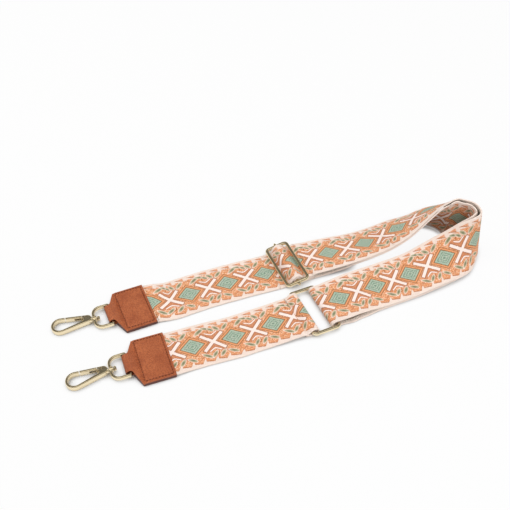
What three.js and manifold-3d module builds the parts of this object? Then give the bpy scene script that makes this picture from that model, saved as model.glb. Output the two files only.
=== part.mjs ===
// A 50 mm wide adjustable bag strap, laid flat and turned back on itself.
// Millimetres, +Z up, +X along the strap from the hooks to the bend.
import * as THREE from "three";
import { mergeVertices } from "three/addons/utils/BufferGeometryUtils.js";
import Module from "manifold-3d";

const wasm = await Module();
wasm.setup();

// Driving dimensions of the webbing
const webbingWidth = 50;
const webbingThickness = 1.7;
const fitGap = 0.3;
const floorGap = 0.1;
const cutOverrun = 2;

// Driving dimensions of the leather end tabs
const leatherThickness = 1;
const tabSideWall = 0.9;
const tabPanelLength = 30.5;
const tabPanelStart = 8.2;
const tabEdgeBevel = 0.7;
const tabEdgeDrop = 1.3;
const neckHalfWidth = 10.1;
const neckEnd = 1.6;
const shoulderX = 4.6;
const shoulderHalfWidth = 17.2;
const shoulderRadius = 3;
const stepHeight = 3;
const stepX = 9.1;
const eyeStretch = 1.15;
const stitchInset = 2.4;
const stitchGrooveWidth = 1.1;
const stitchGrooveDepth = 0.5;
const threadThickness = 0.5;
const webbingInTab = 26;

// Driving dimensions of the swivel snap hooks
const dRingLength = 18.8;
const dRingWidth = 27.6;
const dRingStrip = 2.6;
const dRingHeight = 4;
const dRingDroop = THREE.MathUtils.degToRad(1.05);
const dRingFrontRadius = 8.8;
const dRingBackRadius = 2.6;
const dRingBossRadius = 2.8;
const dRingBossLength = 1.2;
const pinRadius = 1.2;
const pinPlay = 0.5;
const pinEndGap = 0.6;
const pinHeadRadius = 2.5;
const pinHeadLength = 2.4;
const pinCollarRadius = 1.9;
const hookLength = 38.6;
const hookHeight = 5.2;
const hookStrip = 2.3;
const hookEndRadius = 8.7;
const hookNeckRadius = 4.2;
const hookEyeNeckRadius = 2.4;
const hookBarrelRadius = 2.6;
const hookBarrelLength = 4.4;
const gatePinRadius = 0.7;
const gateTongueThickness = 2;
const gateLength = 19.5;
const gateSwing = 22;
const gateNoseGap = 0.6;
const springWireRadius = 0.22;
const springRadius = 0.62;
const springTurns = 6;
const springPitch = 1;
const springInset = 0.8;

// Driving dimensions of the sliding buckle and the rectangular ring
const wireDiameter = 3.4;
const frameRim = 1.2;
const wireSideGap = 0.7;
const sliderLength = 26;
const sliderCornerRadius = 5;
const sliderTenonRadius = 0.8;
const sliderRivetRadius = 1.4;
const sliderRivetLength = 2.6;
const ringLength = 30.5;
const ringCornerRadius = 5;

// Driving dimensions of the layout on the table
const sliderX = 4;
const ringX = 6.5;
const tabAX = -179.6;
const tabBX = -177.4;
const lowerLineY = -19.8;
const strandGap = 7.1;
const tabAInset = 3.5;
const tabBInset = 2;
const bendReach = 203;
const tabAHeading = THREE.MathUtils.degToRad(3.6);
const ringAHeading = THREE.MathUtils.degToRad(1);
const ringBHeading = THREE.MathUtils.degToRad(0.8);
const hookAYaw = THREE.MathUtils.degToRad(-6);
const hookBYaw = 0;
const sliderHeading = THREE.MathUtils.degToRad(3);
const ringHeading = THREE.MathUtils.degToRad(4);

// Sizes that follow from the driving ones
const halfWidth = webbingWidth / 2;
const tabWidth = webbingWidth + 2 * tabSideWall;
const frameInnerWidth = webbingWidth + 2 * wireSideGap;
const frameWidth = frameInnerWidth + 2 * wireDiameter;
const halfWeb = webbingThickness / 2;
const wireRadius = wireDiameter / 2;
const layerPitch = webbingThickness + fitGap;
const floorLayerZ = floorGap + halfWeb;
const strandPitch = frameWidth + strandGap;
const upperLineY = lowerLineY + strandPitch;
const tabALineY = upperLineY - tabAInset;
const tabBLineY = lowerLineY - tabBInset;
const quarterTurn = Math.PI / 2;
const up = new THREE.Vector3(0, 0, 1);

// Finishes
const finishes = {
  webbing: new THREE.MeshStandardMaterial({ color: 0xe2a273, roughness: 0.9, metalness: 0 }),
  leather: new THREE.MeshStandardMaterial({ color: 0xa9603a, roughness: 0.6, metalness: 0 }),
  thread: new THREE.MeshStandardMaterial({ color: 0x8e4d2c, roughness: 0.8, metalness: 0 }),
  brass: new THREE.MeshStandardMaterial({ color: 0xd9c393, roughness: 0.25, metalness: 1 }),
  spring: new THREE.MeshStandardMaterial({ color: 0xb8b8b8, roughness: 0.35, metalness: 1 }),
};

// Joining and cutting of closed solids
function toSolid(geometry) {
  const bare = geometry.index ? geometry.toNonIndexed() : geometry.clone();
  bare.deleteAttribute("normal");
  bare.deleteAttribute("uv");
  const merged = mergeVertices(bare, webbingThickness / 1e4);
  const mesh = new wasm.Mesh({
    numProp: 3,
    vertProperties: new Float32Array(merged.attributes.position.array),
    triVerts: new Uint32Array(merged.index.array),
  });
  return new wasm.Manifold(mesh);
}

function toGeometry(solid) {
  const mesh = solid.getMesh();
  const places = new Float32Array(mesh.numVert * 3);
  for (let i = 0; i < mesh.numVert; i++) {
    const start = i * mesh.numProp;
    places.set(mesh.vertProperties.subarray(start, start + 3), i * 3);
  }
  const geometry = new THREE.BufferGeometry();
  geometry.setAttribute("position", new THREE.BufferAttribute(places, 3));
  geometry.setIndex(new THREE.BufferAttribute(new Uint32Array(mesh.triVerts), 1));
  const flat = geometry.toNonIndexed();
  flat.computeVertexNormals();
  return flat;
}

function named(name, geometry, finish) {
  const mesh = new THREE.Mesh(geometry, finish);
  mesh.name = name;
  return mesh;
}

// An outline through corner points, each rounded by its own radius
function roundCorners(path, corners, closed) {
  const count = corners.length;
  corners.forEach(([x, y, radius], i) => {
    const here = new THREE.Vector2(x, y);
    const isEnd = !closed && (i === 0 || i === count - 1);
    if (isEnd || !radius) {
      if (i === 0) path.moveTo(x, y);
      else path.lineTo(x, y);
      return;
    }
    const before = corners[(i + count - 1) % count];
    const after = corners[(i + 1) % count];
    const back = new THREE.Vector2(before[0], before[1]).sub(here).normalize();
    const ahead = new THREE.Vector2(after[0], after[1]).sub(here).normalize();
    const halfAngle = Math.acos(THREE.MathUtils.clamp(back.dot(ahead), -1, 1)) / 2;
    const reach = radius / Math.tan(halfAngle);
    const first = here.clone().addScaledVector(back, reach);
    const last = here.clone().addScaledVector(ahead, reach);
    const inward = back.clone().add(ahead).normalize();
    const centre = here.clone().addScaledVector(inward, radius / Math.sin(halfAngle));
    const from = Math.atan2(first.y - centre.y, first.x - centre.x);
    const to = Math.atan2(last.y - centre.y, last.x - centre.x);
    if (i === 0) path.moveTo(first.x, first.y);
    else path.lineTo(first.x, first.y);
    path.absarc(centre.x, centre.y, radius, from, to, back.cross(ahead) > 0);
  });
  if (closed) path.closePath();
  return path;
}

// A flat plate from an outline, centred on z = 0, with rounded rims
function plate(shape, height, rim, rimSteps, cornerSteps) {
  const geometry = new THREE.ExtrudeGeometry(shape, {
    depth: height - 2 * rim,
    bevelEnabled: rim > 0,
    bevelThickness: rim,
    bevelSize: rim,
    bevelOffset: -rim,
    bevelSegments: rimSteps,
    curveSegments: cornerSteps,
  });
  geometry.translate(0, 0, rim - height / 2);
  return geometry;
}

function box(lengthX, lengthY, lengthZ, x, y, z) {
  return new THREE.BoxGeometry(lengthX, lengthY, lengthZ).translate(x, y, z);
}

function rodAlongX(radius, fromX, toX, y, z, sides) {
  const rod = new THREE.CylinderGeometry(radius, radius, Math.abs(toX - fromX), sides);
  return rod.rotateZ(quarterTurn).translate((fromX + toX) / 2, y, z);
}

function rodAlongZ(radius, height, x, y, sides) {
  return new THREE.CylinderGeometry(radius, radius, height, sides).rotateX(quarterTurn).translate(x, y, 0);
}

function rodAlongY(radius, length, x, z, sides) {
  return new THREE.CylinderGeometry(radius, radius, length, sides).translate(x, 0, z);
}

// A strip of webbing through stations that give its centre and its left side.
// Both faces of a stretch are split along the same diagonal, so a twisted strip keeps its thickness.
// Layers that lie on each other share that diagonal too: flip marks the one that runs back.
function ribbon(stations) {
  const count = stations.length;
  const places = [];
  stations.forEach(({ centre, side }, i) => {
    const before = stations[Math.max(i - 1, 0)].centre;
    const after = stations[Math.min(i + 1, count - 1)].centre;
    const back = centre.clone().sub(before).normalize();
    const ahead = after.clone().sub(centre).normalize();
    const travel = back.add(ahead).normalize();
    const face = travel.cross(side).normalize();
    for (const [across, through] of [[1, -1], [-1, -1], [-1, 1], [1, 1]]) {
      const corner = centre.clone().addScaledVector(side, across * halfWidth);
      corner.addScaledVector(face, through * halfWeb);
      places.push(corner.x, corner.y, corner.z);
    }
  });
  const triangles = [0, 1, 2, 0, 2, 3];
  for (let i = 0; i + 1 < count; i++)
    for (let k = 0; k < 4; k++) {
      const a = 4 * i + k;
      const b = 4 * i + ((k + 1) % 4);
      const crossed = Boolean(stations[i].flip) === k < 2;
      if (crossed) triangles.push(a, a + 4, b, b, a + 4, b + 4);
      else triangles.push(a, b + 4, b, a, a + 4, b + 4);
    }
  const last = 4 * (count - 1);
  triangles.push(last, last + 2, last + 1, last, last + 3, last + 2);
  const geometry = new THREE.BufferGeometry();
  geometry.setAttribute("position", new THREE.Float32BufferAttribute(places, 3));
  geometry.setIndex(triangles);
  const flat = geometry.toNonIndexed();
  flat.computeVertexNormals();
  return flat;
}

// Stations along a side-view profile of (distance, height) points that stands on a line on the table
function profileStations(path, arcSteps, originX, originY, heading, sideSign) {
  const along = new THREE.Vector3(Math.cos(heading), Math.sin(heading), 0);
  const side = new THREE.Vector3(-Math.sin(heading), Math.cos(heading), 0).multiplyScalar(sideSign);
  const origin = new THREE.Vector3(originX, originY, 0);
  const stations = [];
  for (const { x, y } of path.getPoints(arcSteps)) {
    const centre = origin.clone().addScaledVector(along, x).addScaledVector(up, y);
    const previous = stations.at(-1);
    if (previous && previous.centre.distanceTo(centre) < halfWeb / 10) continue;
    stations.push({ centre, side: side.clone() });
  }
  return stations;
}

// The double run of webbing from the buckle round the standing bend to the ring.
// Each row has shares of the reach along X, of the pitch between the strands, of a right angle for the bank,
// and of the webbing's width for the lift over the floor.
const doubleRunShares = [
  [0.14, 1.018, 0.04, 0],
  [0.27, 1.005, 0.05, 0],
  [0.385, 0.95, 0.12, 0],
  [0.54, 0.97, 0.17, 0.01],
  [0.66, 1.03, 0.25, 0.05],
  [0.75, 1.045, 0.42, 0.06],
  [0.83, 1.065, 0.48, 0.19],
  [0.895, 1.02, 0.49, 0.27],
  [0.935, 0.955, 0.55, 0.28],
  [0.965, 0.875, 0.65, 0.2],
  [0.985, 0.78, 0.73, 0.11],
  [1.005, 0.605, 0.88, 0.065],
  [0.995, 0.41, 0.945, 0.05],
  [0.985, 0.325, 0.915, 0],
  [0.94, 0.235, 0.83, 0],
  [0.885, 0.175, 0.63, 0],
  [0.83, 0.145, 0.39, 0.03],
  [0.73, 0.16, 0.18, 0.065],
  [0.61, 0.13, 0.07, 0.03],
  [0.49, 0.1, 0.1, 0],
  [0.355, 0.08, 0.09, 0],
  [0.26, 0.08, 0.045, 0.04],
  [0.165, 0.035, 0.02, 0.07],
];
const runStepsPerRow = 3;
const flatBankShare = 0.04;
const tiltedBankShare = 0.11;
const bendSpread = 2.9;
const runPitch = layerPitch + fitGap;
const ringUnderlapShare = 0.035;
const ringwardFromShare = 0.75;
const steepestStandShare = 0.985;
const standingShare = 0.08;

// A smooth curve that rows of values pull along, through its first and last row
function smoothRow(rows, share) {
  const first = rows[0].map((value, i) => 2 * value - rows[1][i]);
  const last = rows.at(-1).map((value, i) => 2 * value - rows.at(-2)[i]);
  const padded = [first, ...rows, last];
  const place = share * (rows.length - 1);
  const cell = Math.min(Math.floor(place), rows.length - 2);
  const t = place - cell;
  const weights = [(1 - t) ** 3, 3 * t ** 3 - 6 * t ** 2 + 4, 1 + 3 * t + 3 * t ** 2 - 3 * t ** 3, t ** 3];
  return first.map((_, i) => weights.reduce((sum, weight, k) => sum + (weight * padded[cell + k][i]) / 6, 0));
}

// One edge of the layer that lies inside another layer's edge
function innerEdge(edge, sides, spreads) {
  return edge.map((place, i) => {
    const before = edge[Math.max(i - 1, 0)];
    const after = edge[Math.min(i + 1, edge.length - 1)];
    const face = after.clone().sub(before).cross(sides[i]).normalize();
    return place.clone().addScaledVector(face, -spreads[i]);
  });
}

// The lower edge of that layer: where the outer layer lifts off the table, this one still stands on it
function standingFoot(rimPlace, besideOuter, outward, bank) {
  const drop = Math.min((rimPlace.z - floorLayerZ) / webbingWidth, steepestStandShare);
  const freedom = THREE.MathUtils.smoothstep(drop - Math.sin(bank * quarterTurn), 0, standingShare);
  const onTable = rimPlace.clone().addScaledVector(outward, Math.sqrt(1 - drop ** 2) * webbingWidth);
  return besideOuter.clone().lerp(onTable.addScaledVector(up, -drop * webbingWidth), freedom);
}

function doubleRun() {
  const steps = (doubleRunShares.length - 1) * runStepsPerRow;
  const shares = Array.from({ length: steps + 1 }, (_, i) => i / steps);
  const rows = shares.map((share) => smoothRow(doubleRunShares, share));
  const places = rows.map(([x, y]) => new THREE.Vector3(x * bendReach, lowerLineY + y * strandPitch, 0));
  const outwards = places.map((_, i) => {
    const before = places[Math.max(i - 1, 0)];
    const after = places[Math.min(i + 1, steps)];
    return up.clone().cross(after.clone().sub(before)).normalize();
  });
  const banks = rows.map(([, , bank]) => Math.max(bank, 0));
  const centres = places.map((place, i) => {
    const bank = banks[i] * quarterTurn;
    const lift = Math.max(rows[i][3], 0) * webbingWidth;
    const standing = halfWidth * Math.sin(bank) + (halfWeb + runPitch) * Math.cos(bank);
    return place.clone().setZ(standing + floorGap + lift);
  });
  const sides = outwards.map((outward, i) => {
    const bank = banks[i] * quarterTurn;
    return outward.clone().multiplyScalar(Math.cos(bank)).addScaledVector(up, -Math.sin(bank));
  });
  const spreads = banks.map((bank) => runPitch + bendSpread * bank ** 2);
  const [besideOuter, rim] = [1, -1].map((hand) => {
    const outerEdge = centres.map((centre, i) => centre.clone().addScaledVector(sides[i], hand * halfWidth));
    return innerEdge(outerEdge, sides, spreads);
  });
  const foot = rim.map((place, i) => standingFoot(place, besideOuter[i], outwards[i], banks[i]));
  const edges = [[foot, 1], [rim, -1]].map(([tiltedEdge, hand]) => {
    return tiltedEdge.map((place, i) => {
      const ringward = THREE.MathUtils.smoothstep(shares[i], ringwardFromShare, 1) * ringUnderlapShare * strandPitch;
      const flat = places[i].clone().setZ(floorLayerZ);
      flat.addScaledVector(outwards[i], hand * halfWidth + ringward);
      return flat.lerp(place, THREE.MathUtils.smoothstep(banks[i], flatBankShare, tiltedBankShare));
    });
  });
  const outer = centres.map((centre, i) => ({ centre, side: sides[i] }));
  const inner = edges[0].map((left, i) => {
    const right = edges[1][i];
    const centre = left.clone().add(right).divideScalar(2);
    return { centre, side: left.clone().sub(right).normalize(), flip: true };
  });
  return { outer, inner: inner.reverse() };
}

// Single layer of the upper strand, between its tab and the buckle: shares of the tab-to-buckle
// distance and of the pitch between the strands
const upperSingleShares = [
  [0.16, -0.05],
  [0.3, -0.03],
  [0.45, -0.012],
  [0.62, -0.006],
  [0.8, -0.006],
  [0.9, -0.012],
];

// Heights of the buckle's wires over the layers that pass beneath them
const sewnLayerZ = floorLayerZ + layerPitch;
const topLayerZ = sewnLayerZ + layerPitch;
const sliderBarPitch = sliderLength - wireDiameter;
const sliderLowZ = floorLayerZ + halfWeb + fitGap + wireRadius;
const sliderHighZ = topLayerZ + halfWeb + fitGap + wireRadius;
const sliderMidZ = (sliderLowZ + sliderHighZ) / 2;
const sliderTilt = Math.asin((sliderHighZ - sliderLowZ) / sliderBarPitch);
const wrapRadius = wireRadius + fitGap + halfWeb;
const archRadius = wrapRadius + layerPitch;
const archRiseGap = 1.2;
const archFallGap = 1.04;
const wrapLift = THREE.MathUtils.degToRad(16);
const kneeRadius = 3;
const sewnEndLength = 20;
const archRunOut = 18;

// Where a line that leans by an angle and touches a circle on the buckle's bar crosses a height
function tangentFoot(radius, angle, height) {
  const startX = radius * Math.sin(angle);
  const startZ = sliderMidZ + radius * Math.cos(angle);
  return startX + (startZ - height) / Math.tan(angle);
}

// The lean of such a line that crosses the height at a distance from the bar, and so clears the frame's ends
function tangentLean(radius, footX, height) {
  const rise = sliderMidZ - height;
  return Math.atan2(rise, footX) + Math.asin(radius / Math.hypot(footX, rise));
}

const barWindow = sliderBarPitch / 2 - wireRadius;
const archRise = tangentLean(archRadius, barWindow - archRiseGap, floorLayerZ);
const archFall = tangentLean(archRadius, barWindow - archFallGap, topLayerZ);

function archProfile() {
  const riseX = -tangentFoot(archRadius, archRise, floorLayerZ);
  const fallX = tangentFoot(archRadius, archFall, topLayerZ);
  // The two leaning lines meet over the bar
  const drop = floorLayerZ - topLayerZ;
  const span = fallX - riseX;
  const rise = Math.tan(archRise);
  const fall = Math.tan(archFall);
  const peakX = riseX + (span * fall - drop) / (rise + fall);
  const peakZ = floorLayerZ + (peakX - riseX) * rise;
  return roundCorners(
    new THREE.Path(),
    [
      [-archRunOut, floorLayerZ],
      [riseX, floorLayerZ, kneeRadius],
      [peakX, peakZ, archRadius],
      [fallX, topLayerZ, kneeRadius],
      [archRunOut, topLayerZ],
    ],
    false,
  );
}

function wrapProfile() {
  const path = new THREE.Path();
  const low = -quarterTurn - wrapLift;
  const high = quarterTurn - archFall;
  const footX = tangentFoot(wrapRadius, archFall, sewnLayerZ);
  path.moveTo(sewnEndLength, floorLayerZ);
  path.lineTo(footX, floorLayerZ);
  path.lineTo(wrapRadius * Math.cos(low), sliderMidZ + wrapRadius * Math.sin(low));
  path.absarc(0, sliderMidZ, wrapRadius, low, high - 4 * quarterTurn, true);
  path.lineTo(footX, sewnLayerZ);
  path.lineTo(sewnEndLength, sewnLayerZ);
  return path;
}

// Folds round the ring's two bars
const ringBarZ = floorGap + webbingThickness + fitGap + wireRadius;
const ringBarPitch = ringLength - wireDiameter;
const longFoldRadius = 3.4;
const longFoldSlack = 3.4;
const shortFoldRadius = 3.2;
const shortFoldSlack = 2.4;
const longFoldRun = 7;
const shortFoldRun = 3.4;
const shortHemLength = 10;
const hemFlatLength = 2.4;
const hemRise = 1;
const hemRiseInset = 3;

function longFoldProfile() {
  const barX = ringBarPitch / 2;
  const centreX = barX - longFoldSlack;
  const centreZ = floorLayerZ + longFoldRadius;
  const path = new THREE.Path();
  path.moveTo(centreX + longFoldRun, centreZ + longFoldRadius);
  path.lineTo(centreX, centreZ + longFoldRadius);
  path.absarc(centreX, centreZ, longFoldRadius, quarterTurn, 3 * quarterTurn, false);
  path.lineTo(centreX + longFoldRun, floorLayerZ);
  return path;
}

const hemTopZ = sewnLayerZ + hemRise;

function shortFoldProfile() {
  const barX = -ringBarPitch / 2;
  const centreX = barX + shortFoldSlack;
  const centreZ = floorLayerZ + shortFoldRadius;
  const hemX = centreX - shortHemLength;
  const top = centreZ + shortFoldRadius;
  const path = roundCorners(
    new THREE.Path(),
    [
      [hemX, hemTopZ],
      [hemX + hemFlatLength, hemTopZ, webbingThickness],
      [centreX - shortFoldRun, top, shortFoldRadius],
      [centreX, top],
    ],
    false,
  );
  path.absarc(centreX, centreZ, shortFoldRadius, quarterTurn, -quarterTurn, true);
  path.lineTo(barX - hemRiseInset, floorLayerZ);
  path.lineTo(hemX, floorLayerZ + hemRise);
  return path;
}

// Height of the webbing's middle inside a leather tab
const pocketZ = leatherThickness + fitGap + halfWeb;
const tabEnd = tabPanelStart + tabPanelLength;

function longWebbing() {
  const tabAlong = new THREE.Vector3(Math.cos(tabAHeading), Math.sin(tabAHeading), 0);
  const tabSide = new THREE.Vector3(-Math.sin(tabAHeading), Math.cos(tabAHeading), 0);
  const tabOrigin = new THREE.Vector3(tabAX, tabALineY, pocketZ);
  const stations = [tabEnd - webbingInTab, tabEnd, tabEnd + webbingThickness].map((distance) => ({
    centre: tabOrigin.clone().addScaledVector(tabAlong, distance),
    side: tabSide.clone(),
  }));
  const spanX = sliderX - archRunOut - (tabAX + tabEnd);
  const singleKeys = upperSingleShares.map(
    ([along, across]) => new THREE.Vector3(tabAX + tabEnd + along * spanX, upperLineY + across * strandPitch, floorLayerZ),
  );
  const single = new THREE.CatmullRomCurve3([stations.at(-1).centre, ...singleKeys]);
  const singleSteps = 2 * singleKeys.length;
  for (let i = 1; i <= singleSteps; i++) {
    const share = i / singleSteps;
    const side = up.clone().cross(single.getTangent(share)).normalize();
    const centre = single.getPoint(share);
    stations.push({ centre: centre.setZ(Math.max(centre.z, floorLayerZ)), side });
  }
  const run = doubleRun();
  stations.push(...profileStations(archProfile(), 5, sliderX, upperLineY, sliderHeading, 1));
  stations.push(...run.outer);
  stations.push(...profileStations(longFoldProfile(), 5, ringX, lowerLineY, ringHeading, -1));
  stations.push(...run.inner);
  stations.push(...profileStations(wrapProfile(), 5, sliderX, upperLineY, sliderHeading, 1));
  return named("long_webbing", ribbon(stations), finishes.webbing);
}

// Short webbing: from its fold round the ring's left bar to the lower tab.
// Shares of the ring-to-tab distance, of the pitch between the strands and of the hem's height
const shortWebbingShares = [
  [0.95, -0.021, 0.85],
  [0.83, -0.023, 0.42],
  [0.665, -0.025, 0.04],
  [0.5, -0.038, 0],
  [0.34, -0.024, 0],
  [0.17, -0.018, 0],
];

function shortWebbing() {
  const fold = profileStations(shortFoldProfile(), 5, ringX, lowerLineY, ringHeading, -1);
  const foldStart = fold[0].centre;
  const tabMouth = new THREE.Vector3(tabBX + tabEnd, tabBLineY, pocketZ);
  const keys = shortWebbingShares.map(
    ([along, across, rise]) =>
      new THREE.Vector3(
        tabMouth.x + along * (foldStart.x - tabMouth.x),
        lowerLineY + across * strandPitch,
        floorLayerZ + rise * (hemTopZ - floorLayerZ),
      ),
  );
  const line = new THREE.CatmullRomCurve3([foldStart, ...keys, tabMouth].reverse());
  const steps = 2 * (keys.length + 1);
  const stations = [];
  stations.push({ centre: new THREE.Vector3(tabMouth.x - webbingInTab, tabBLineY, pocketZ), side: new THREE.Vector3(0, 1, 0) });
  for (let i = 0; i < steps; i++) {
    const share = i / steps;
    const side = up.clone().cross(line.getTangent(share)).normalize();
    const centre = line.getPoint(share);
    stations.push({ centre: centre.setZ(Math.max(centre.z, floorLayerZ)), side });
  }
  for (const station of fold) {
    station.side.negate();
    stations.push(station);
  }
  return named("short_webbing", ribbon(stations), finishes.webbing);
}

// Leather tab: one piece folded round the D-ring's bar, with the webbing sewn between its two ends.
// Local frame: the bar on the Y axis, the webbing towards +X, the table at z = 0.
const eyeRadius = Math.hypot(dRingStrip, dRingHeight) / 2 + fitGap;
const eyeZ = eyeRadius + leatherThickness;
const panelHeight = 2 * leatherThickness + 2 * fitGap + webbingThickness;

function leatherTab(name) {
  const outerRadius = eyeRadius + leatherThickness;
  const profile = new THREE.Shape();
  profile.moveTo(tabEnd, 0);
  profile.lineTo(tabEnd, panelHeight);
  profile.lineTo(stepX + panelHeight - stepHeight, panelHeight);
  profile.lineTo(stepX, stepHeight);
  profile.absellipse(0, eyeZ, outerRadius * eyeStretch, outerRadius, quarterTurn / 2, 3 * quarterTurn, false, 0);
  profile.closePath();
  const folded = toSolid(plate(profile, tabWidth, 0, 0, 12).rotateX(quarterTurn));
  const half = tabWidth / 2;
  const left = -2 * outerRadius;
  const outline = roundCorners(
    new THREE.Shape(),
    [
      [left, -neckHalfWidth, 0],
      [neckEnd, -neckHalfWidth, shoulderRadius],
      [shoulderX, -shoulderHalfWidth, shoulderRadius],
      [tabPanelStart, -half, leatherThickness / 2],
      [tabEnd, -half, leatherThickness / 2],
      [tabEnd, half, leatherThickness / 2],
      [tabPanelStart, half, leatherThickness / 2],
      [shoulderX, shoulderHalfWidth, shoulderRadius],
      [neckEnd, neckHalfWidth, shoulderRadius],
      [left, neckHalfWidth, 0],
    ],
    true,
  );
  const blank = toSolid(plate(outline, 4 * eyeZ, 0, 0, 4));
  // Pressed-down long edges of the panel
  const edges = new THREE.Shape();
  const roof = 2 * eyeZ + cutOverrun;
  const lean = (tabEdgeBevel / tabEdgeDrop) * (roof - panelHeight + tabEdgeDrop);
  edges.moveTo(-half, -cutOverrun);
  edges.lineTo(half, -cutOverrun);
  edges.lineTo(half, panelHeight - tabEdgeDrop);
  edges.lineTo(half - lean, roof);
  edges.lineTo(lean - half, roof);
  edges.lineTo(-half, panelHeight - tabEdgeDrop);
  edges.closePath();
  const pressed = plate(edges, 2 * tabEnd + cutOverrun, 0, 0, 1).rotateZ(quarterTurn).rotateY(quarterTurn);
  const pocketLength = webbingInTab + fitGap + cutOverrun;
  const pocketHeight = webbingThickness + 2 * fitGap;
  const pocketX = tabEnd - webbingInTab - fitGap + pocketLength / 2;
  const pocket = toSolid(box(pocketLength, webbingWidth + 2 * fitGap, pocketHeight, pocketX, 0, pocketZ));
  const eye = toSolid(rodAlongY(eyeRadius, tabWidth, 0, 0, 20)).scale([eyeStretch, 1, 1]).translate([0, 0, eyeZ]);
  const groove = toSolid(stitchLoop(stitchGrooveWidth, 2 * stitchGrooveDepth)).translate([0, 0, panelHeight]);
  const shaped = folded.intersect(blank).intersect(toSolid(pressed));
  return named(name, toGeometry(shaped.subtract(pocket).subtract(eye).subtract(groove)), finishes.leather);
}

// A rectangle of stitching, inside the panel's edges
function stitchLoop(lineWidth, height) {
  const x0 = stepX + stitchInset / 2;
  const x1 = tabEnd - stitchInset;
  const y1 = tabWidth / 2 - stitchInset;
  const half = lineWidth / 2;
  const shape = roundCorners(
    new THREE.Shape(),
    [[x0 - half, -y1 - half, 0], [x1 + half, -y1 - half, 0], [x1 + half, y1 + half, 0], [x0 - half, y1 + half, 0]],
    true,
  );
  const hole = roundCorners(
    new THREE.Path(),
    [[x0 + half, -y1 + half, 0], [x0 + half, y1 - half, 0], [x1 - half, y1 - half, 0], [x1 - half, -y1 + half, 0]],
    true,
  );
  shape.holes.push(hole);
  return plate(shape, height, 0, 0, 1);
}

function tabThread(name) {
  const thread = stitchLoop(threadThickness, threadThickness);
  const z = panelHeight - stitchGrooveDepth + fitGap + threadThickness / 2;
  return named(name, thread.translate(0, 0, z), finishes.thread);
}

// D-ring that holds the swivel, with a boss for the pin in its front
function swivelRing(name) {
  const back = dRingStrip / 2;
  const front = -dRingLength + back;
  const halfY = dRingWidth / 2;
  const shape = roundCorners(
    new THREE.Shape(),
    [
      [back, -halfY, dRingBackRadius],
      [back, halfY, dRingBackRadius],
      [front, halfY, dRingFrontRadius],
      [front, -halfY, dRingFrontRadius],
    ],
    true,
  );
  const innerFront = dRingFrontRadius - dRingStrip;
  const innerBack = dRingBackRadius / 2;
  const hole = roundCorners(
    new THREE.Path(),
    [
      [back - dRingStrip, -halfY + dRingStrip, innerBack],
      [front + dRingStrip, -halfY + dRingStrip, innerFront],
      [front + dRingStrip, halfY - dRingStrip, innerFront],
      [back - dRingStrip, halfY - dRingStrip, innerBack],
    ],
    true,
  );
  shape.holes.push(hole);
  const strip = toSolid(plate(shape, dRingHeight, dRingStrip / 3, 2, 4));
  const boss = toSolid(rodAlongX(dRingBossRadius, front, front + dRingStrip + dRingBossLength, 0, 0, 16));
  const bore = toSolid(rodAlongX(pinRadius + pinPlay, front - cutOverrun, front + 4 * dRingStrip, 0, 0, 12));
  return named(name, toGeometry(strip.add(boss).subtract(bore)), finishes.brass);
}

// Swivel pin: a riveted head inside the D-ring, a shank through the boss and into the hook's barrel
const dRingFront = dRingLength - dRingStrip / 2;
const barrelStart = dRingFront + pinEndGap;
const socketDepth = hookBarrelLength - fitGap;
const pinPivotX = dRingFront - (dRingStrip + dRingBossLength) / 2;

function swivelPin(name) {
  const bossInner = dRingFront - dRingStrip - dRingBossLength;
  const headStart = bossInner - pinEndGap - pinHeadLength;
  const points = [
    [0, headStart],
    [0.7 * pinHeadRadius, headStart],
    [pinHeadRadius, headStart + pinHeadLength / 2],
    [pinHeadRadius, headStart + 0.7 * pinHeadLength],
    [pinCollarRadius, headStart + pinHeadLength],
    [pinRadius, headStart + pinHeadLength],
    [pinRadius, barrelStart + socketDepth],
    [0, barrelStart + socketDepth],
  ];
  const pin = new THREE.LatheGeometry(points.map(([r, x]) => new THREE.Vector2(r, x)), 14);
  return named(name, toGeometry(toSolid(pin.rotateZ(quarterTurn))), finishes.brass);
}

// The outline round two circles, as a teardrop: the large one at the hook's end, the small one at its neck
function teardrop(path, endX, endY, endRadius, neckX, neckY, neckRadius) {
  const line = Math.atan2(neckY - endY, neckX - endX);
  const lean = Math.acos((endRadius - neckRadius) / Math.hypot(neckX - endX, neckY - endY));
  path.absarc(endX, endY, endRadius, line + lean, line - lean + 4 * quarterTurn, false);
  path.absarc(neckX, neckY, neckRadius, line - lean, line + lean, false);
  path.closePath();
  return path;
}

// Places on the hook, as distances from the D-ring's bar towards the hook's end, and across it
const hookEnd = barrelStart + hookLength;
const hookEndX = hookEnd - hookEndRadius;
const hookEndY = -0.07 * hookEndRadius;
const hookNeckX = barrelStart + 1.05 * hookNeckRadius;
const hookNeckY = 0.24 * hookNeckRadius;
const hookEyeNeckX = hookNeckX + 1.45 * hookNeckRadius;
const gatePinX = hookNeckX + 0.3 * hookNeckRadius;
const gatePinY = hookNeckY + 0.45 * hookNeckRadius;
const gateRootX = gatePinX + 0.8 * hookNeckRadius;
const noseX = gateRootX + gateLength - 0.8 * hookNeckRadius;

function hookBlank() {
  const shape = teardrop(new THREE.Shape(), -hookEndX, hookEndY, hookEndRadius, -hookNeckX, hookNeckY, hookNeckRadius);
  const eyeEndRadius = hookEndRadius - hookStrip;
  const eye = teardrop(new THREE.Path(), -hookEndX, hookEndY, eyeEndRadius, -hookEyeNeckX, hookNeckY, hookEyeNeckRadius);
  shape.holes.push(eye);
  return toSolid(plate(shape, hookHeight, hookStrip / 3.4, 2, 12));
}

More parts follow.
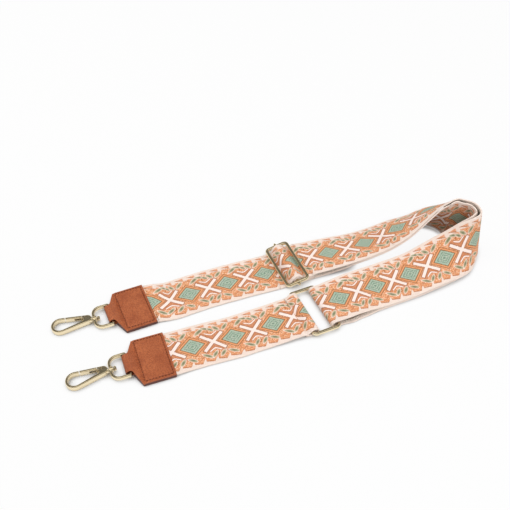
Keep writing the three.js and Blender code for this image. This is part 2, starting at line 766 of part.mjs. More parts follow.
// The side of the teardrop that opens, from the gate's root to the nose
function gateWindow(rootGap, noseGap) {
  const fromX = -gateRootX - rootGap;
  const toX = -noseX + noseGap;
  const height = hookEndRadius + cutOverrun;
  return toSolid(box(fromX - toX, height, 2 * hookHeight, (fromX + toX) / 2, hookNeckY + height / 2, 0));
}

function hookBody(name) {
  const barrel = toSolid(rodAlongX(hookBarrelRadius, -barrelStart, -barrelStart - hookBarrelLength, 0, 0, 16));
  const socketEnd = -barrelStart - socketDepth - fitGap;
  const socket = toSolid(rodAlongX(pinRadius + fitGap, -barrelStart + cutOverrun, socketEnd, 0, 0, 12));
  const slotHeight = gateTongueThickness + 2 * fitGap;
  const slotFrom = 0.5 * hookNeckRadius;
  const slotTo = gatePinX - gateRootX - cutOverrun;
  const slotWidth = hookEndRadius;
  const slotY = slotWidth / 2 - gateDepth / 2 - fitGap;
  const closedSlot = toSolid(box(slotFrom - slotTo, slotWidth, slotHeight, (slotFrom + slotTo) / 2, slotY, 0));
  const openSlot = closedSlot.rotate([0, 0, gateSwing]);
  const slot = closedSlot.add(openSlot).translate([-gatePinX, gatePinY, 0]);
  const pinHole = toSolid(rodAlongZ(gatePinRadius + fitGap, 2 * hookHeight, -gatePinX, gatePinY, 12));
  const body = hookBlank().subtract(gateWindow(0, 0)).add(barrel).subtract(socket).subtract(slot).subtract(pinHole);
  return named(name, toGeometry(body), finishes.brass);
}

// Gate, in its own frame with the hinge pin on the origin
const springSlotLength = springTurns * springPitch + 2 * fitGap;
const springSlotHeight = 2 * (springRadius + springWireRadius + fitGap);
const springX = gateRootX - gatePinX + springInset + springSlotLength / 2;
const gateDepth = 2.9;

function gate(name) {
  const arm = hookBlank().intersect(gateWindow(fitGap, gateNoseGap)).translate([gatePinX, -gatePinY, 0]);
  const tongueLength = gateRootX - gatePinX + hookStrip;
  const eyeEnd = toSolid(rodAlongZ(gateDepth / 2, gateTongueThickness, 0, 0, 14));
  const tongue = toSolid(box(tongueLength, gateDepth, gateTongueThickness, -tongueLength / 2, 0, 0));
  const pinHole = toSolid(rodAlongZ(gatePinRadius + fitGap, 2 * hookHeight, 0, 0, 12));
  const armMiddle = armCentreline(springX);
  const slotY = armMiddle - springSlotHeight;
  const slotBlock = box(springSlotLength, 3 * springSlotHeight, springSlotHeight, -springX, slotY, 0);
  const body = arm.add(tongue).add(eyeEnd).subtract(pinHole).subtract(toSolid(slotBlock));
  return named(name, toGeometry(body), finishes.brass);
}

// Height of the gate's middle line over its pin, where its spring lies
function armCentreline(distance) {
  const outerAngle = Math.atan2(hookEndY + hookEndRadius - hookNeckY - hookNeckRadius, hookEndX - hookNeckX);
  const outerY = hookNeckY + hookNeckRadius + (distance + gatePinX - hookNeckX) * Math.tan(outerAngle);
  return outerY - gatePinY - hookStrip / 2;
}

class Helix extends THREE.Curve {
  getPoint(t, target = new THREE.Vector3()) {
    const angle = t * springTurns * 4 * quarterTurn;
    return target.set(
      (t - 0.5) * springTurns * springPitch,
      springRadius * Math.cos(angle),
      springRadius * Math.sin(angle),
    );
  }
}

function gateSpring(name) {
  const section = new THREE.Shape().absarc(0, 0, springWireRadius, 0, 4 * quarterTurn, false);
  const coil = new THREE.ExtrudeGeometry(section, {
    steps: springTurns * 8,
    curveSegments: 5,
    extrudePath: new Helix(),
    bevelEnabled: false,
  });
  coil.translate(-springX, armCentreline(springX), 0);
  return named(name, toGeometry(toSolid(coil)), finishes.spring);
}

function gatePin(name) {
  const pin = rodAlongZ(gatePinRadius, hookHeight, -gatePinX, gatePinY, 12);
  return named(name, toGeometry(toSolid(pin)), finishes.brass);
}

// One end of the strap: the tab with its thread, the D-ring, the swivel hook and its gate
function strapEnd(letter, x, y, tabHeading, ringHeading, hookYaw) {
  const end = new THREE.Group();
  end.position.set(x, y, 0);
  const tab = new THREE.Group();
  tab.rotation.z = tabHeading;
  tab.add(leatherTab("leather_tab_" + letter), tabThread("tab_thread_" + letter));
  const ring = new THREE.Group();
  ring.name = "ring_axis_" + letter;
  ring.position.z = eyeZ;
  ring.rotation.set(0, -dRingDroop, ringHeading, "ZYX");
  ring.add(swivelRing("swivel_ring_" + letter));
  // The hook leans in its bore about the middle of the D-ring's front
  const hook = new THREE.Group();
  hook.name = "swivel_axis_" + letter;
  hook.rotation.z = hookYaw;
  hook.position.set(pinPivotX * (Math.cos(hookYaw) - 1), pinPivotX * Math.sin(hookYaw), 0);
  hook.add(swivelPin("swivel_pin_" + letter), hookBody("hook_body_" + letter), gatePin("gate_pin_" + letter));
  const gateGroup = new THREE.Group();
  gateGroup.name = "gate_axis_" + letter;
  gateGroup.position.set(-gatePinX, gatePinY, 0);
  gateGroup.add(gate("gate_" + letter), gateSpring("gate_spring_" + letter));
  hook.add(gateGroup);
  ring.add(hook);
  end.add(tab, ring);
  return end;
}

// A rectangular loop of round wire
function wireLoop(length, width, cornerRadius) {
  const corners = (halfX, halfY, radius) => [
    [halfX, -halfY, radius],
    [halfX, halfY, radius],
    [-halfX, halfY, radius],
    [-halfX, -halfY, radius],
  ];
  const shape = roundCorners(new THREE.Shape(), corners(length / 2, width / 2, cornerRadius), true);
  const inner = corners(length / 2 - wireDiameter, width / 2 - wireDiameter, cornerRadius - wireDiameter);
  shape.holes.push(roundCorners(new THREE.Path(), inner.reverse(), true));
  return plate(shape, wireDiameter, frameRim, 3, 5);
}

// Sliding buckle: a wire frame and a riveted bar across its middle
function slider() {
  const group = new THREE.Group();
  group.name = "slider_axis";
  group.position.set(sliderX, upperLineY, sliderMidZ);
  group.rotation.set(0, -sliderTilt, sliderHeading, "ZYX");
  const hole = toSolid(rodAlongY(sliderTenonRadius + fitGap, 2 * frameWidth, 0, 0, 12));
  const frame = toSolid(wireLoop(sliderLength, frameWidth, sliderCornerRadius)).subtract(hole);
  const shankEnd = frameInnerWidth / 2 - fitGap;
  const tenonEnd = frameWidth / 2 + fitGap;
  const rivetEnd = tenonEnd + sliderRivetLength;
  const half = [
    [wireRadius, shankEnd],
    [sliderTenonRadius, shankEnd],
    [sliderTenonRadius, tenonEnd],
    [sliderRivetRadius, tenonEnd],
    [sliderRivetRadius, tenonEnd + sliderRivetLength / 2],
    [sliderRivetRadius / 2, rivetEnd],
    [0, rivetEnd],
  ];
  const mirrored = half.map(([r, y]) => [r, -y]).reverse();
  const points = [...mirrored, ...half].map(([r, y]) => new THREE.Vector2(r, y));
  const bar = toSolid(new THREE.LatheGeometry(points, 14));
  group.add(named("slider_frame", toGeometry(frame), finishes.brass));
  group.add(named("slider_bar", toGeometry(bar), finishes.brass));
  return group;
}

function ring() {
  const group = new THREE.Group();
  group.name = "ring_centre";
  group.position.set(ringX, lowerLineY, ringBarZ);
  group.rotation.z = ringHeading;
  const loop = toSolid(wireLoop(ringLength, frameWidth, ringCornerRadius));
  group.add(named("rectangular_ring", toGeometry(loop), finishes.brass));
  for (const [name, sign] of [["long_fold_axis", 1], ["short_fold_axis", -1]]) {
    const axis = new THREE.Group();
    axis.name = name;
    axis.position.x = (sign * ringBarPitch) / 2;
    group.add(axis);
  }
  return group;
}

// Rows of thread that sew the webbing's folds, across the strap
const foldThreadInset = 3.4;
const foldThreadLength = webbingWidth - 2 * foldThreadInset;

function foldThread(name, x, y, z, heading) {
  const thread = new THREE.Mesh(box(threadThickness, foldThreadLength, threadThickness, 0, 0, 0), finishes.thread);
  thread.name = name;
  thread.position.set(x, y, z);
  thread.rotation.z = heading;
  return thread;
}

// The whole strap, with its origin under the middle of its box
const strap = new THREE.Group();
strap.add(strapEnd("a", tabAX, tabALineY, tabAHeading, ringAHeading, hookAYaw));
strap.add(strapEnd("b", tabBX, tabBLineY, 0, ringBHeading, hookBYaw));
strap.add(longWebbing(), shortWebbing(), slider(), ring());
const ringThreadX = ringX - (ringBarPitch / 2 - shortFoldSlack + shortHemLength - halfWeb) * Math.cos(ringHeading);
const ringThreadY = lowerLineY - (ringX - ringThreadX) * Math.tan(ringHeading);
const threadSeat = fitGap + threadThickness / 2;
strap.add(foldThread("ring_fold_thread", ringThreadX, ringThreadY, hemTopZ + halfWeb + threadSeat, ringHeading));

strap.updateMatrixWorld(true);
const bounds = new THREE.Box3().setFromObject(strap, true);
const middle = bounds.getCenter(new THREE.Vector3());
strap.position.set(-middle.x, -middle.y, -bounds.min.z);
strap.updateMatrixWorld(true);

export default strap;
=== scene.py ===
# %% [markdown]
# # A patterned bag strap, laid on a table
# The strap is a wide jacquard webbing with leather end tabs, two swivel snap hooks, a sliding buckle and
# a rectangular ring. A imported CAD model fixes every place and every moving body. This file dresses it:
# the soft solids are replaced by finely modelled webbing, leather and stitches, and the metal parts get
# their finish.

# %% Load the frame
import math

import bmesh
import bpy
import numpy as np
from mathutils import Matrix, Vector


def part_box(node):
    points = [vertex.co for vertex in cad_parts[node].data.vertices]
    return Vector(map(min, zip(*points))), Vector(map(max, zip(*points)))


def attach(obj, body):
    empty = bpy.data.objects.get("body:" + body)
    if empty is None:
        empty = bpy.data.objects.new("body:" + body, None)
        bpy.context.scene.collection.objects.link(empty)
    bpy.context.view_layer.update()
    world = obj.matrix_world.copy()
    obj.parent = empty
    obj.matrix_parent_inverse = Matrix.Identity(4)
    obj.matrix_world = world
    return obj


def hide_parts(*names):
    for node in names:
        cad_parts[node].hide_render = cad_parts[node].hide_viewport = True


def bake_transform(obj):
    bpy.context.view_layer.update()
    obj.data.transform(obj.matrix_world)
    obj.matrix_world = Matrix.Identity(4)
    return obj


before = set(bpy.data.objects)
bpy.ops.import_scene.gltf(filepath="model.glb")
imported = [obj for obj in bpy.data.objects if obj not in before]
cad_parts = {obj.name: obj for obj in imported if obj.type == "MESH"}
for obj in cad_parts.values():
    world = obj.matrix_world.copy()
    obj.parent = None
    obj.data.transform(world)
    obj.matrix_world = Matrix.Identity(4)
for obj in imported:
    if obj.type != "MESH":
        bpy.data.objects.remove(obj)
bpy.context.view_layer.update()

# %% [markdown]
# ## Sizes
# The webbing follows the same route as its CAD solid, so the named sizes of that route are written here
# again, in millimetres. Everything is turned into metres at the last moment, when a mesh is made. The CAD
# model stands in the middle of its own box, so the route is shifted to where the ring really is.

# %% Named sizes of the webbing and its layers
MM = 0.001
WEB_WIDTH, WEB_THICKNESS = 50.0, 1.7
HALF_WIDTH, HALF_WEB = WEB_WIDTH / 2, WEB_THICKNESS / 2
FIT_GAP, FLOOR_GAP = 0.3, 0.1
LAYER_PITCH = WEB_THICKNESS + FIT_GAP
RUN_PITCH = LAYER_PITCH + FIT_GAP
FLOOR_LAYER_Z = FLOOR_GAP + HALF_WEB
SEWN_LAYER_Z = FLOOR_LAYER_Z + LAYER_PITCH
TOP_LAYER_Z = SEWN_LAYER_Z + LAYER_PITCH
UPPER_LINE_Y, LOWER_LINE_Y = 45.5, -19.8
STRAND_PITCH = UPPER_LINE_Y - LOWER_LINE_Y
RING_X = 6.5

ring_low, ring_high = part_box("rectangular_ring")
ring_middle = (ring_low + ring_high) / 2
SHIFT = np.array([ring_middle.x / MM - RING_X, ring_middle.y / MM - LOWER_LINE_Y, 0.0])
print("route shift in mm:", SHIFT.round(3))

# %% [markdown]
# ## Camera
# The camera stands where the photograph was taken from, and looks down at the table. Its lens is worked
# out from a focal length in pixels of the square picture. It could be placed by eye, but then no size
# would fit.

# %% Camera
PICTURE_PX, FOCAL_PX = 510, 720
CAMERA_PLACE = np.array([-203.3, -428.7, 533.8])
CAMERA_DOWN, CAMERA_TURN = 44.916, 20
NEAREST, FARTHEST = 0.01, 20
camera_data = bpy.data.cameras.new("camera")
camera_data.lens = FOCAL_PX / PICTURE_PX * camera_data.sensor_width
camera_data.clip_start, camera_data.clip_end = NEAREST, FARTHEST
camera = bpy.data.objects.new("camera", camera_data)
bpy.context.collection.objects.link(camera)
camera.location = [v * MM for v in CAMERA_PLACE + SHIFT]
camera.rotation_euler = (math.radians(90 - CAMERA_DOWN), 0, math.radians(-CAMERA_TURN))
scene = bpy.context.scene
scene.camera = camera
scene.view_settings.view_transform = "Standard"
print("lens in mm:", round(camera_data.lens, 2))


# %% [markdown]
# ## Shader graphs in words
# A pattern such as this webbing's needs some hundred shader nodes. They could be wired by hand in the
# shader editor, but written as sums and masks they can be read and changed. Two small classes do the
# wiring.

# %% Graphs and wires
class Graph:
    """Adds nodes to a material or a node group, and links them as they are made."""

    def __init__(self, tree):
        self.tree = tree

    def node(self, kind, **inputs):
        """A node of that kind. Plain settings and input sockets are both given by name."""
        made = self.tree.nodes.new("ShaderNode" + kind)
        for name, value in inputs.items():
            key = name.replace("_", " ")
            socket = next((s for s in made.inputs if s.name == key and s.enabled), None)
            if socket is None:
                setattr(made, name, value)
            else:
                self.feed(socket, value)
        return made

    def feed(self, socket, value):
        """Gives a socket its value: a wire or another socket is linked, and a plain value is set."""
        if isinstance(value, Wire):
            value = value.socket
        if isinstance(value, bpy.types.NodeSocket):
            self.tree.links.new(value, socket)
        else:
            socket.default_value = value

    def math(self, operation, *values):
        made = self.tree.nodes.new("ShaderNodeMath")
        made.operation = operation
        for socket, value in zip(made.inputs, values):
            self.feed(socket, value)
        return Wire(self, made.outputs[0])

    def step(self, value, low, high):
        """A mask that rises from 0 to 1 while the value goes from low to high."""
        made = self.tree.nodes.new("ShaderNodeMapRange")
        made.interpolation_type = "SMOOTHSTEP"
        self.feed(made.inputs["Value"], value)
        made.inputs["From Min"].default_value, made.inputs["From Max"].default_value = low, high
        return Wire(self, made.outputs["Result"])

    def below(self, value, limit, soft):
        return 1 - self.step(value, limit - soft, limit + soft)

    def above(self, value, limit, soft):
        return self.step(value, limit - soft, limit + soft)

    def noise(self, place, scale, detail):
        return Wire(self, self.node("TexNoise", Vector=place, Scale=scale, Detail=detail).outputs[0])

    def colour(self, factor, first, second):
        """First where the factor is 0, second where it is 1."""
        made = self.tree.nodes.new("ShaderNodeMix")
        made.data_type = "RGBA"
        self.feed(made.inputs["Factor"], factor)
        for name, value in (("A", first), ("B", second)):
            self.feed(next(s for s in made.inputs if s.name == name and s.type == "RGBA"), value)
        return next(s for s in made.outputs if s.type == "RGBA")


class Wire:
    """A number that changes over the surface. Sums and products of wires become Math nodes."""

    def __init__(self, graph, socket):
        self.graph, self.socket = graph, socket

    def __add__(self, other):
        return self.graph.math("ADD", self, other)

    __radd__ = __add__

    def __sub__(self, other):
        return self.graph.math("SUBTRACT", self, other)

    def __rsub__(self, other):
        return self.graph.math("SUBTRACT", other, self)

    def __mul__(self, other):
        return self.graph.math("MULTIPLY", self, other)

    __rmul__ = __mul__

    def __abs__(self):
        return self.graph.math("ABSOLUTE", self)


print("graph and wire ready")


# %% Colours, materials and groups
def srgb(red, green, blue):
    """A colour as it looks on screen, from 0 to 255, as the linear colour that shaders use."""
    share = [v / 255 for v in (red, green, blue)]
    return tuple(v / 12.92 if v <= 0.04045 else ((v + 0.055) / 1.055) ** 2.4 for v in share) + (1.0,)


def new_material(name):
    made = bpy.data.materials.new(name)
    made.use_nodes = True
    return made, Graph(made.node_tree), made.node_tree.nodes["Principled BSDF"]


def new_group(name, inputs, outputs):
    """A shader node group with named inputs (name: kind and value) and outputs (name: kind)."""
    tree = bpy.data.node_groups.new(name, "ShaderNodeTree")
    for socket, (kind, value) in inputs.items():
        made = tree.interface.new_socket(socket, in_out="INPUT", socket_type="NodeSocket" + kind)
        if value is not None:
            made.default_value = value
    for socket, kind in outputs.items():
        tree.interface.new_socket(socket, in_out="OUTPUT", socket_type="NodeSocket" + kind)
    enter, leave = tree.nodes.new("NodeGroupInput"), tree.nodes.new("NodeGroupOutput")
    return tree, Graph(tree), enter, leave


def use_group(graph, tree, **inputs):
    made = graph.tree.nodes.new("ShaderNodeGroup")
    made.node_tree = tree
    for name, value in inputs.items():
        graph.feed(made.inputs[name], value)
    return made


def object_place(graph):
    return graph.node("TexCoord").outputs["Object"]


print("peach in linear colour:", [round(v, 3) for v in srgb(234, 160, 112)])

# %% [markdown]
# ## Floor and light
# The floor is a plain white table. A white floor under strong lamps would also do, but the strap would
# then be too bright. So what the camera sees of the floor is mostly its own white, and a small share of
# it is a plain diffuse surface that keeps the strap's soft shadow. Close under the strap and between its
# layers an occlusion mask fades the own white out, which paints a contact shade there.

# %% Floor
FLOOR_SIZE = 12
FLOOR_GREY, FLOOR_OWN_WHITE = 0.75, 0.93
CONTACT_SHADE_REACH, PAINTED_CONTACT_SHADE = 0.008, (0.35, 0.9)
bpy.ops.mesh.primitive_plane_add(size=1)
floor = bpy.context.object
floor.name = "floor"
floor.scale = (FLOOR_SIZE, FLOOR_SIZE, 1)

floor_material, graph, shader = new_material("white_floor")
shader.inputs["Base Color"].default_value = (FLOOR_GREY, FLOOR_GREY, FLOOR_GREY, 1)
shader.inputs["Roughness"].default_value = 1
shader.inputs["Specular IOR Level"].default_value = 0
path = graph.node("LightPath")
seen = graph.math("MAXIMUM", path.outputs["Is Camera Ray"], path.outputs["Is Glossy Ray"])
seen = graph.math("MAXIMUM", seen, path.outputs["Is Transmission Ray"])
# Painted contact shade: an occlusion mask fades out the floor's own white close under the strap and between
# its layers.
near_things = graph.node("AmbientOcclusion", Distance=CONTACT_SHADE_REACH)
unshaded_share = graph.step(near_things.outputs["AO"], *PAINTED_CONTACT_SHADE)
own_white = graph.node("Emission", Color=(1, 1, 1, 1), Strength=1.0)
own_share = seen * unshaded_share * FLOOR_OWN_WHITE
mixed = graph.node("MixShader")
for socket, source in zip(mixed.inputs, (own_share, shader.outputs[0], own_white.outputs[0])):
    graph.feed(socket, source)
graph.feed(floor_material.node_tree.nodes["Material Output"].inputs["Surface"], mixed.outputs[0])
floor.data.materials.append(floor_material)
print("floor:", FLOOR_SIZE, "m wide")

# %% [markdown]
# ## What the room looks like
# Matt things are lit by an even white sky. Shiny metal mirrors what is round it, and an even sky would
# make it as white as paper. So glossy rays see a dim room with a bright ceiling and a bright horizon,
# which gives the plating its dark tones between light bands. The camera itself sees plain white.

# %% World
SKY_STRENGTH, ROOM_STRENGTH = 0.62, 0.14
ROOM_TINT = (1, 0.97, 0.9, 1)
CEILING_HEIGHTS, CEILING_STRENGTH = (0.86, 0.97), 0.9
HORIZON_HEIGHT, HORIZON_SOFT, HORIZON_STRENGTH = 0.28, 0.14, 0.8
world = bpy.data.worlds.new("studio")
world.use_nodes = True
scene.world = world
graph = Graph(world.node_tree)
sky = world.node_tree.nodes["Background"]
sky.inputs["Color"].default_value = (1, 1, 1, 1)
sky.inputs["Strength"].default_value = SKY_STRENGTH
white = graph.node("Background", Color=(1, 1, 1, 1), Strength=1.0)
path = graph.node("LightPath")
direction = graph.node("SeparateXYZ", Vector=graph.node("TexCoord").outputs["Generated"])
ceiling = graph.step(direction.outputs["Z"], *CEILING_HEIGHTS)
horizon = graph.below(direction.outputs["Z"], HORIZON_HEIGHT, HORIZON_SOFT)
room = graph.node("Background", Color=ROOM_TINT)
room_light = ceiling * CEILING_STRENGTH + horizon * HORIZON_STRENGTH + ROOM_STRENGTH
graph.feed(room.inputs["Strength"], room_light)


def mixed_world(factor, first, second):
    made = graph.node("MixShader")
    for socket, source in zip(made.inputs, (factor, first.outputs[0], second.outputs[0])):
        graph.feed(socket, source)
    return made


for_glossy = mixed_world(path.outputs["Is Glossy Ray"], sky, room)
clear = graph.math("MAXIMUM", path.outputs["Is Camera Ray"], path.outputs["Is Transmission Ray"])
for_all = mixed_world(clear, for_glossy, white)
graph.feed(world.node_tree.nodes["World Output"].inputs["Surface"], for_all.outputs[0])
print("world:", len(world.node_tree.nodes), "nodes")

# %% Lamps
LAMPS = {
    "key": {"place": (-0.5, 0.5, 1.3), "size": 0.9, "power": 8},
    "fill": {"place": (0.5, -0.9, 0.9), "size": 1.2, "power": 7},
}
for name, lamp in LAMPS.items():
    light = bpy.data.lights.new(name, "AREA")
    light.shape, light.size, light.energy = "DISK", lamp["size"], lamp["power"]
    holder = bpy.data.objects.new(name, light)
    bpy.context.collection.objects.link(holder)
    holder.location = lamp["place"]
    holder.visible_glossy = False
    holder.rotation_euler = (-Vector(lamp["place"])).to_track_quat("-Z", "Y").to_euler()
print("lamps:", ", ".join(LAMPS))

# %% [markdown]
# ## The webbing's route
# One length of webbing runs from tab A under and over the buckle, round the standing bend and round the
# ring's bar, and comes back beneath itself to the buckle. It could be a curve with a bevel, but a wide
# flat strip has to turn on its edge, so each station of the route holds its middle and the direction of
# its left edge.

# %% Small tools for directions and curves
UP = np.array([0.0, 0.0, 1.0])
NEARLY_ZERO, LEAST_LENGTH = 1e-12, 1e-6


def unit(vectors):
    return vectors / np.maximum(np.linalg.norm(vectors, axis=-1, keepdims=True), NEARLY_ZERO)


def rise(values, low, high):
    """Goes smoothly from 0 to 1 while the values go from low to high."""
    share = np.clip((values - low) / (high - low), 0, 1)
    return share * share * (3 - 2 * share)


def smooth_rows(rows, shares):
    """A smooth curve that the rows pull along, through the first and the last of them."""
    rows = np.asarray(rows, float)
    padded = np.concatenate([[2 * rows[0] - rows[1]], rows, [2 * rows[-1] - rows[-2]]])
    place = shares * (len(rows) - 1)
    cell = np.minimum(place.astype(int), len(rows) - 2)
    t = (place - cell)[:, None]
    weights = ((1 - t) ** 3, 3 * t**3 - 6 * t**2 + 4, 1 + 3 * t + 3 * t**2 - 3 * t**3, t**3)
    return sum(w * padded[cell + k] for k, w in enumerate(weights)) / 6


def through_points(points, steps):
    """A smooth curve through the points, paced by the root of their distance as in the CAD source."""
    points = np.asarray(points, float)
    padded = np.concatenate([[2 * points[0] - points[1]], points, [2 * points[-1] - points[-2]]])
    made = []
    for i in range(len(points) - 1):
        p0, p1, p2, p3 = padded[i : i + 4]
        gaps = (np.linalg.norm(b - a) for a, b in ((p0, p1), (p1, p2), (p2, p3)))
        d0, d1, d2 = (max(gap, LEAST_LENGTH) ** 0.5 for gap in gaps)
        slope1 = ((p1 - p0) / d0 - (p2 - p0) / (d0 + d1) + (p2 - p1) / d1) * d1
        slope2 = ((p2 - p1) / d1 - (p3 - p1) / (d1 + d2) + (p3 - p2) / d2) * d1
        for t in np.arange(steps) / steps:
            bend = (2 * p1 - 2 * p2 + slope1 + slope2) * t**3 - (3 * p1 - 3 * p2 + 2 * slope1 + slope2) * t**2
            made.append(p1 + slope1 * t + bend)
    return np.array(made + [points[-1]])


print("halfway up a rise:", rise(0.5, 0, 1))

# %% [markdown]
# ## Two layers round the bend
# From the buckle to the ring two layers lie on each other, flat at first and standing on edge in the
# bend. The outer one is listed in rows. The inner one could be set by hand too, but it would cut
# through the outer one. So it is worked out from the outer one, a strip's thickness beside it. On the
# upper strand it leans with the outer one a little earlier than in the CAD model, as the photo shows.

# %% Rows of the double run
# Each row is a place: along the bend's reach, up from the lower line in strand pitches, the share of a right
# angle by which the strip is banked, and the height in widths by which it is lifted off the table
DOUBLE_RUN_SHARES = np.array([
    [0.14, 1.018, 0.04, 0],
    [0.27, 1.005, 0.05, 0],
    [0.385, 0.95, 0.12, 0],
    [0.54, 0.97, 0.17, 0.01],
    [0.66, 1.03, 0.25, 0.05],
    [0.75, 1.045, 0.42, 0.06],
    [0.83, 1.065, 0.48, 0.19],
    [0.895, 1.02, 0.49, 0.27],
    [0.935, 0.955, 0.55, 0.28],
    [0.965, 0.875, 0.65, 0.2],
    [0.985, 0.78, 0.73, 0.11],
    [1.005, 0.605, 0.88, 0.065],
    [0.995, 0.41, 0.945, 0.05],
    [0.985, 0.325, 0.915, 0],
    [0.94, 0.235, 0.83, 0],
    [0.885, 0.175, 0.63, 0],
    [0.83, 0.145, 0.39, 0.03],
    [0.73, 0.16, 0.18, 0.065],
    [0.61, 0.13, 0.07, 0.03],
    [0.49, 0.1, 0.1, 0],
    [0.355, 0.08, 0.09, 0],
    [0.26, 0.08, 0.045, 0.04],
    [0.165, 0.035, 0.02, 0.07],
])
BEND_REACH, STEPS_PER_ROW = 203.0, 10
print("double run:", len(DOUBLE_RUN_SHARES), "rows")

# %% Outer and inner layer
BEND_SPREAD, STEEPEST_STAND, STANDING_SHARE = 2.9, 0.985, 0.08
UNDERLAP_SHARE, UNDERLAP_SHARES = 0.035, (0.75, 1)
UPPER_TILT_BANKS, UPPER_TILT_SHARES = (0.01, 0.045), (0, 0.09)
LOWER_TILT_BANKS, BEND_MIDDLE = (0.04, 0.11), 0.5
RIM_OPENS_SHARES = (0.36, 0.43)


def double_run():
    """The outer and the inner layer from the buckle round the bend to the ring: (middles, sides) of each."""
    shares = np.linspace(0, 1, (len(DOUBLE_RUN_SHARES) - 1) * STEPS_PER_ROW + 1)
    rows = smooth_rows(DOUBLE_RUN_SHARES, shares)
    places = np.stack([rows[:, 0] * BEND_REACH, LOWER_LINE_Y + rows[:, 1] * STRAND_PITCH, 0 * shares], -1)
    outward = unit(np.cross(UP, np.gradient(places, axis=0)))
    banks = np.maximum(rows[:, 2], 0)
    angle = (banks * math.pi / 2)[:, None]
    lift = np.maximum(rows[:, 3], 0)[:, None] * WEB_WIDTH
    side = outward * np.cos(angle) - UP * np.sin(angle)
    height = HALF_WIDTH * np.sin(angle) + (HALF_WEB + RUN_PITCH) * np.cos(angle) + FLOOR_GAP + lift
    middle = places + height * UP

    # Both edges of the inner layer, beside the outer one's. In the bend they lie further from it
    spread = (RUN_PITCH + BEND_SPREAD * banks**2)[:, None]
    rim_spread = LAYER_PITCH + (spread - LAYER_PITCH) * rise(shares, *RIM_OPENS_SHARES)[:, None]
    foot, rim = (middle + hand * HALF_WIDTH * side for hand in (1, -1))
    pairs = ((foot, spread), (rim, rim_spread))
    foot, rim = (edge - gap * unit(np.cross(np.gradient(edge, axis=0), side)) for edge, gap in pairs)

    # Where the outer layer lifts off the table, the inner one still stands on it
    drop = np.minimum((rim[:, 2:] - FLOOR_LAYER_Z) / WEB_WIDTH, STEEPEST_STAND)
    freedom = rise(drop - np.sin(angle), 0, STANDING_SHARE)
    standing = rim + (np.sqrt(1 - drop**2) * outward - drop * UP) * WEB_WIDTH
    foot = foot + (standing - foot) * freedom

    # Where the outer layer lies flat, the inner one lies flat on the table, a little outwards near the ring
    underlap = (rise(shares, *UNDERLAP_SHARES) * UNDERLAP_SHARE * STRAND_PITCH)[:, None]
    upper_tilt = rise(banks, *UPPER_TILT_BANKS) * rise(shares, *UPPER_TILT_SHARES)
    tilted = np.where(shares < BEND_MIDDLE, upper_tilt, rise(banks, *LOWER_TILT_BANKS))[:, None]
    edges = []
    for edge, hand in ((foot, 1), (rim, -1)):
        flat = places + (hand * HALF_WIDTH + underlap) * outward + FLOOR_LAYER_Z * UP
        edges.append(flat * (1 - tilted) + edge * tilted)
    return (middle, side), ((edges[0] + edges[1]) / 2, unit(edges[0] - edges[1]))


(outer, outer_side), (inner, inner_side) = double_run()
print("double run:", len(outer), "stations, highest middle at", round(outer[:, 2].max(), 1), "mm")

# %% [markdown]
# ## Folds at the buckle and the ring
# The webbing arches over the buckle's middle bar, wraps round it below, and folds round both bars of the
# ring. Seen from the side each is a line with round corners. It could be drawn by hand, but worked out
# from the bars' places and the layers' heights it always clears the wire. A profile is then stood on a
# line on the table.

# %% Profiles seen from the side
ARC_STEPS = 14


def on_table(profile, origin, heading, hand):
    """Stations of a side-view profile of (distance, height) points that stands on a line on the table."""
    profile = np.asarray(profile, float)
    along = np.array([math.cos(heading), math.sin(heading), 0.0])
    middle = np.array([*origin, 0.0]) + profile[:, :1] * along + profile[:, 1:] * UP
    side = np.tile(hand * np.array([-math.sin(heading), math.cos(heading), 0.0]), (len(profile), 1))
    return middle, side


def arc(x, z, radius, start, end):
    angles = np.radians(np.linspace(start, end, ARC_STEPS))
    return [(x + radius * math.cos(a), z + radius * math.sin(a)) for a in angles]


def rounded(points):
    """A side-view path through (x, z, radius) corners, each rounded by its own radius."""
    made = []
    for i, (x, z, radius) in enumerate(points):
        here = np.array([x, z])
        if not radius:
            made.append((x, z))
            continue
        back, ahead = (unit(np.array(points[k][:2]) - here) for k in (i - 1, i + 1))
        half = math.acos(np.clip(back @ ahead, -1, 1)) / 2
        centre = here + unit(back + ahead) * radius / math.sin(half)
        first, last = here + back * radius / math.tan(half), here + ahead * radius / math.tan(half)
        start, end = (math.atan2(*(p - centre)[::-1]) for p in (first, last))
        turn = (end - start + math.pi) % (2 * math.pi) - math.pi
        for a in start + np.linspace(0, turn, ARC_STEPS):
            made.append(tuple(centre + radius * np.array([math.cos(a), math.sin(a)])))
    return made


print("a quarter arc has", len(arc(0, 0, 1, 0, 90)), "points")

# %% Over and round the buckle's bar
WIRE = 3.4
SLIDER_X, SLIDER_HEADING = 4.0, math.radians(3)
slider_low = FLOOR_LAYER_Z + HALF_WEB + FIT_GAP + WIRE / 2
slider_high = TOP_LAYER_Z + HALF_WEB + FIT_GAP + WIRE / 2
BAR_Z = (slider_low + slider_high) / 2
WRAP_RADIUS = WIRE / 2 + FIT_GAP + HALF_WEB
ARCH_RADIUS = WRAP_RADIUS + LAYER_PITCH
ARCH_RISE, ARCH_FALL, WRAP_LIFT = math.radians(60), math.radians(40), 16
KNEE, RUN_OUT, SEWN_END = 3.0, 18.0, 20.0


def tangent_foot(radius, angle, height):
    """How far from the bar a line that touches the circle round it meets a height, at that slope."""
    return radius * math.sin(angle) + (BAR_Z + radius * math.cos(angle) - height) / math.tan(angle)


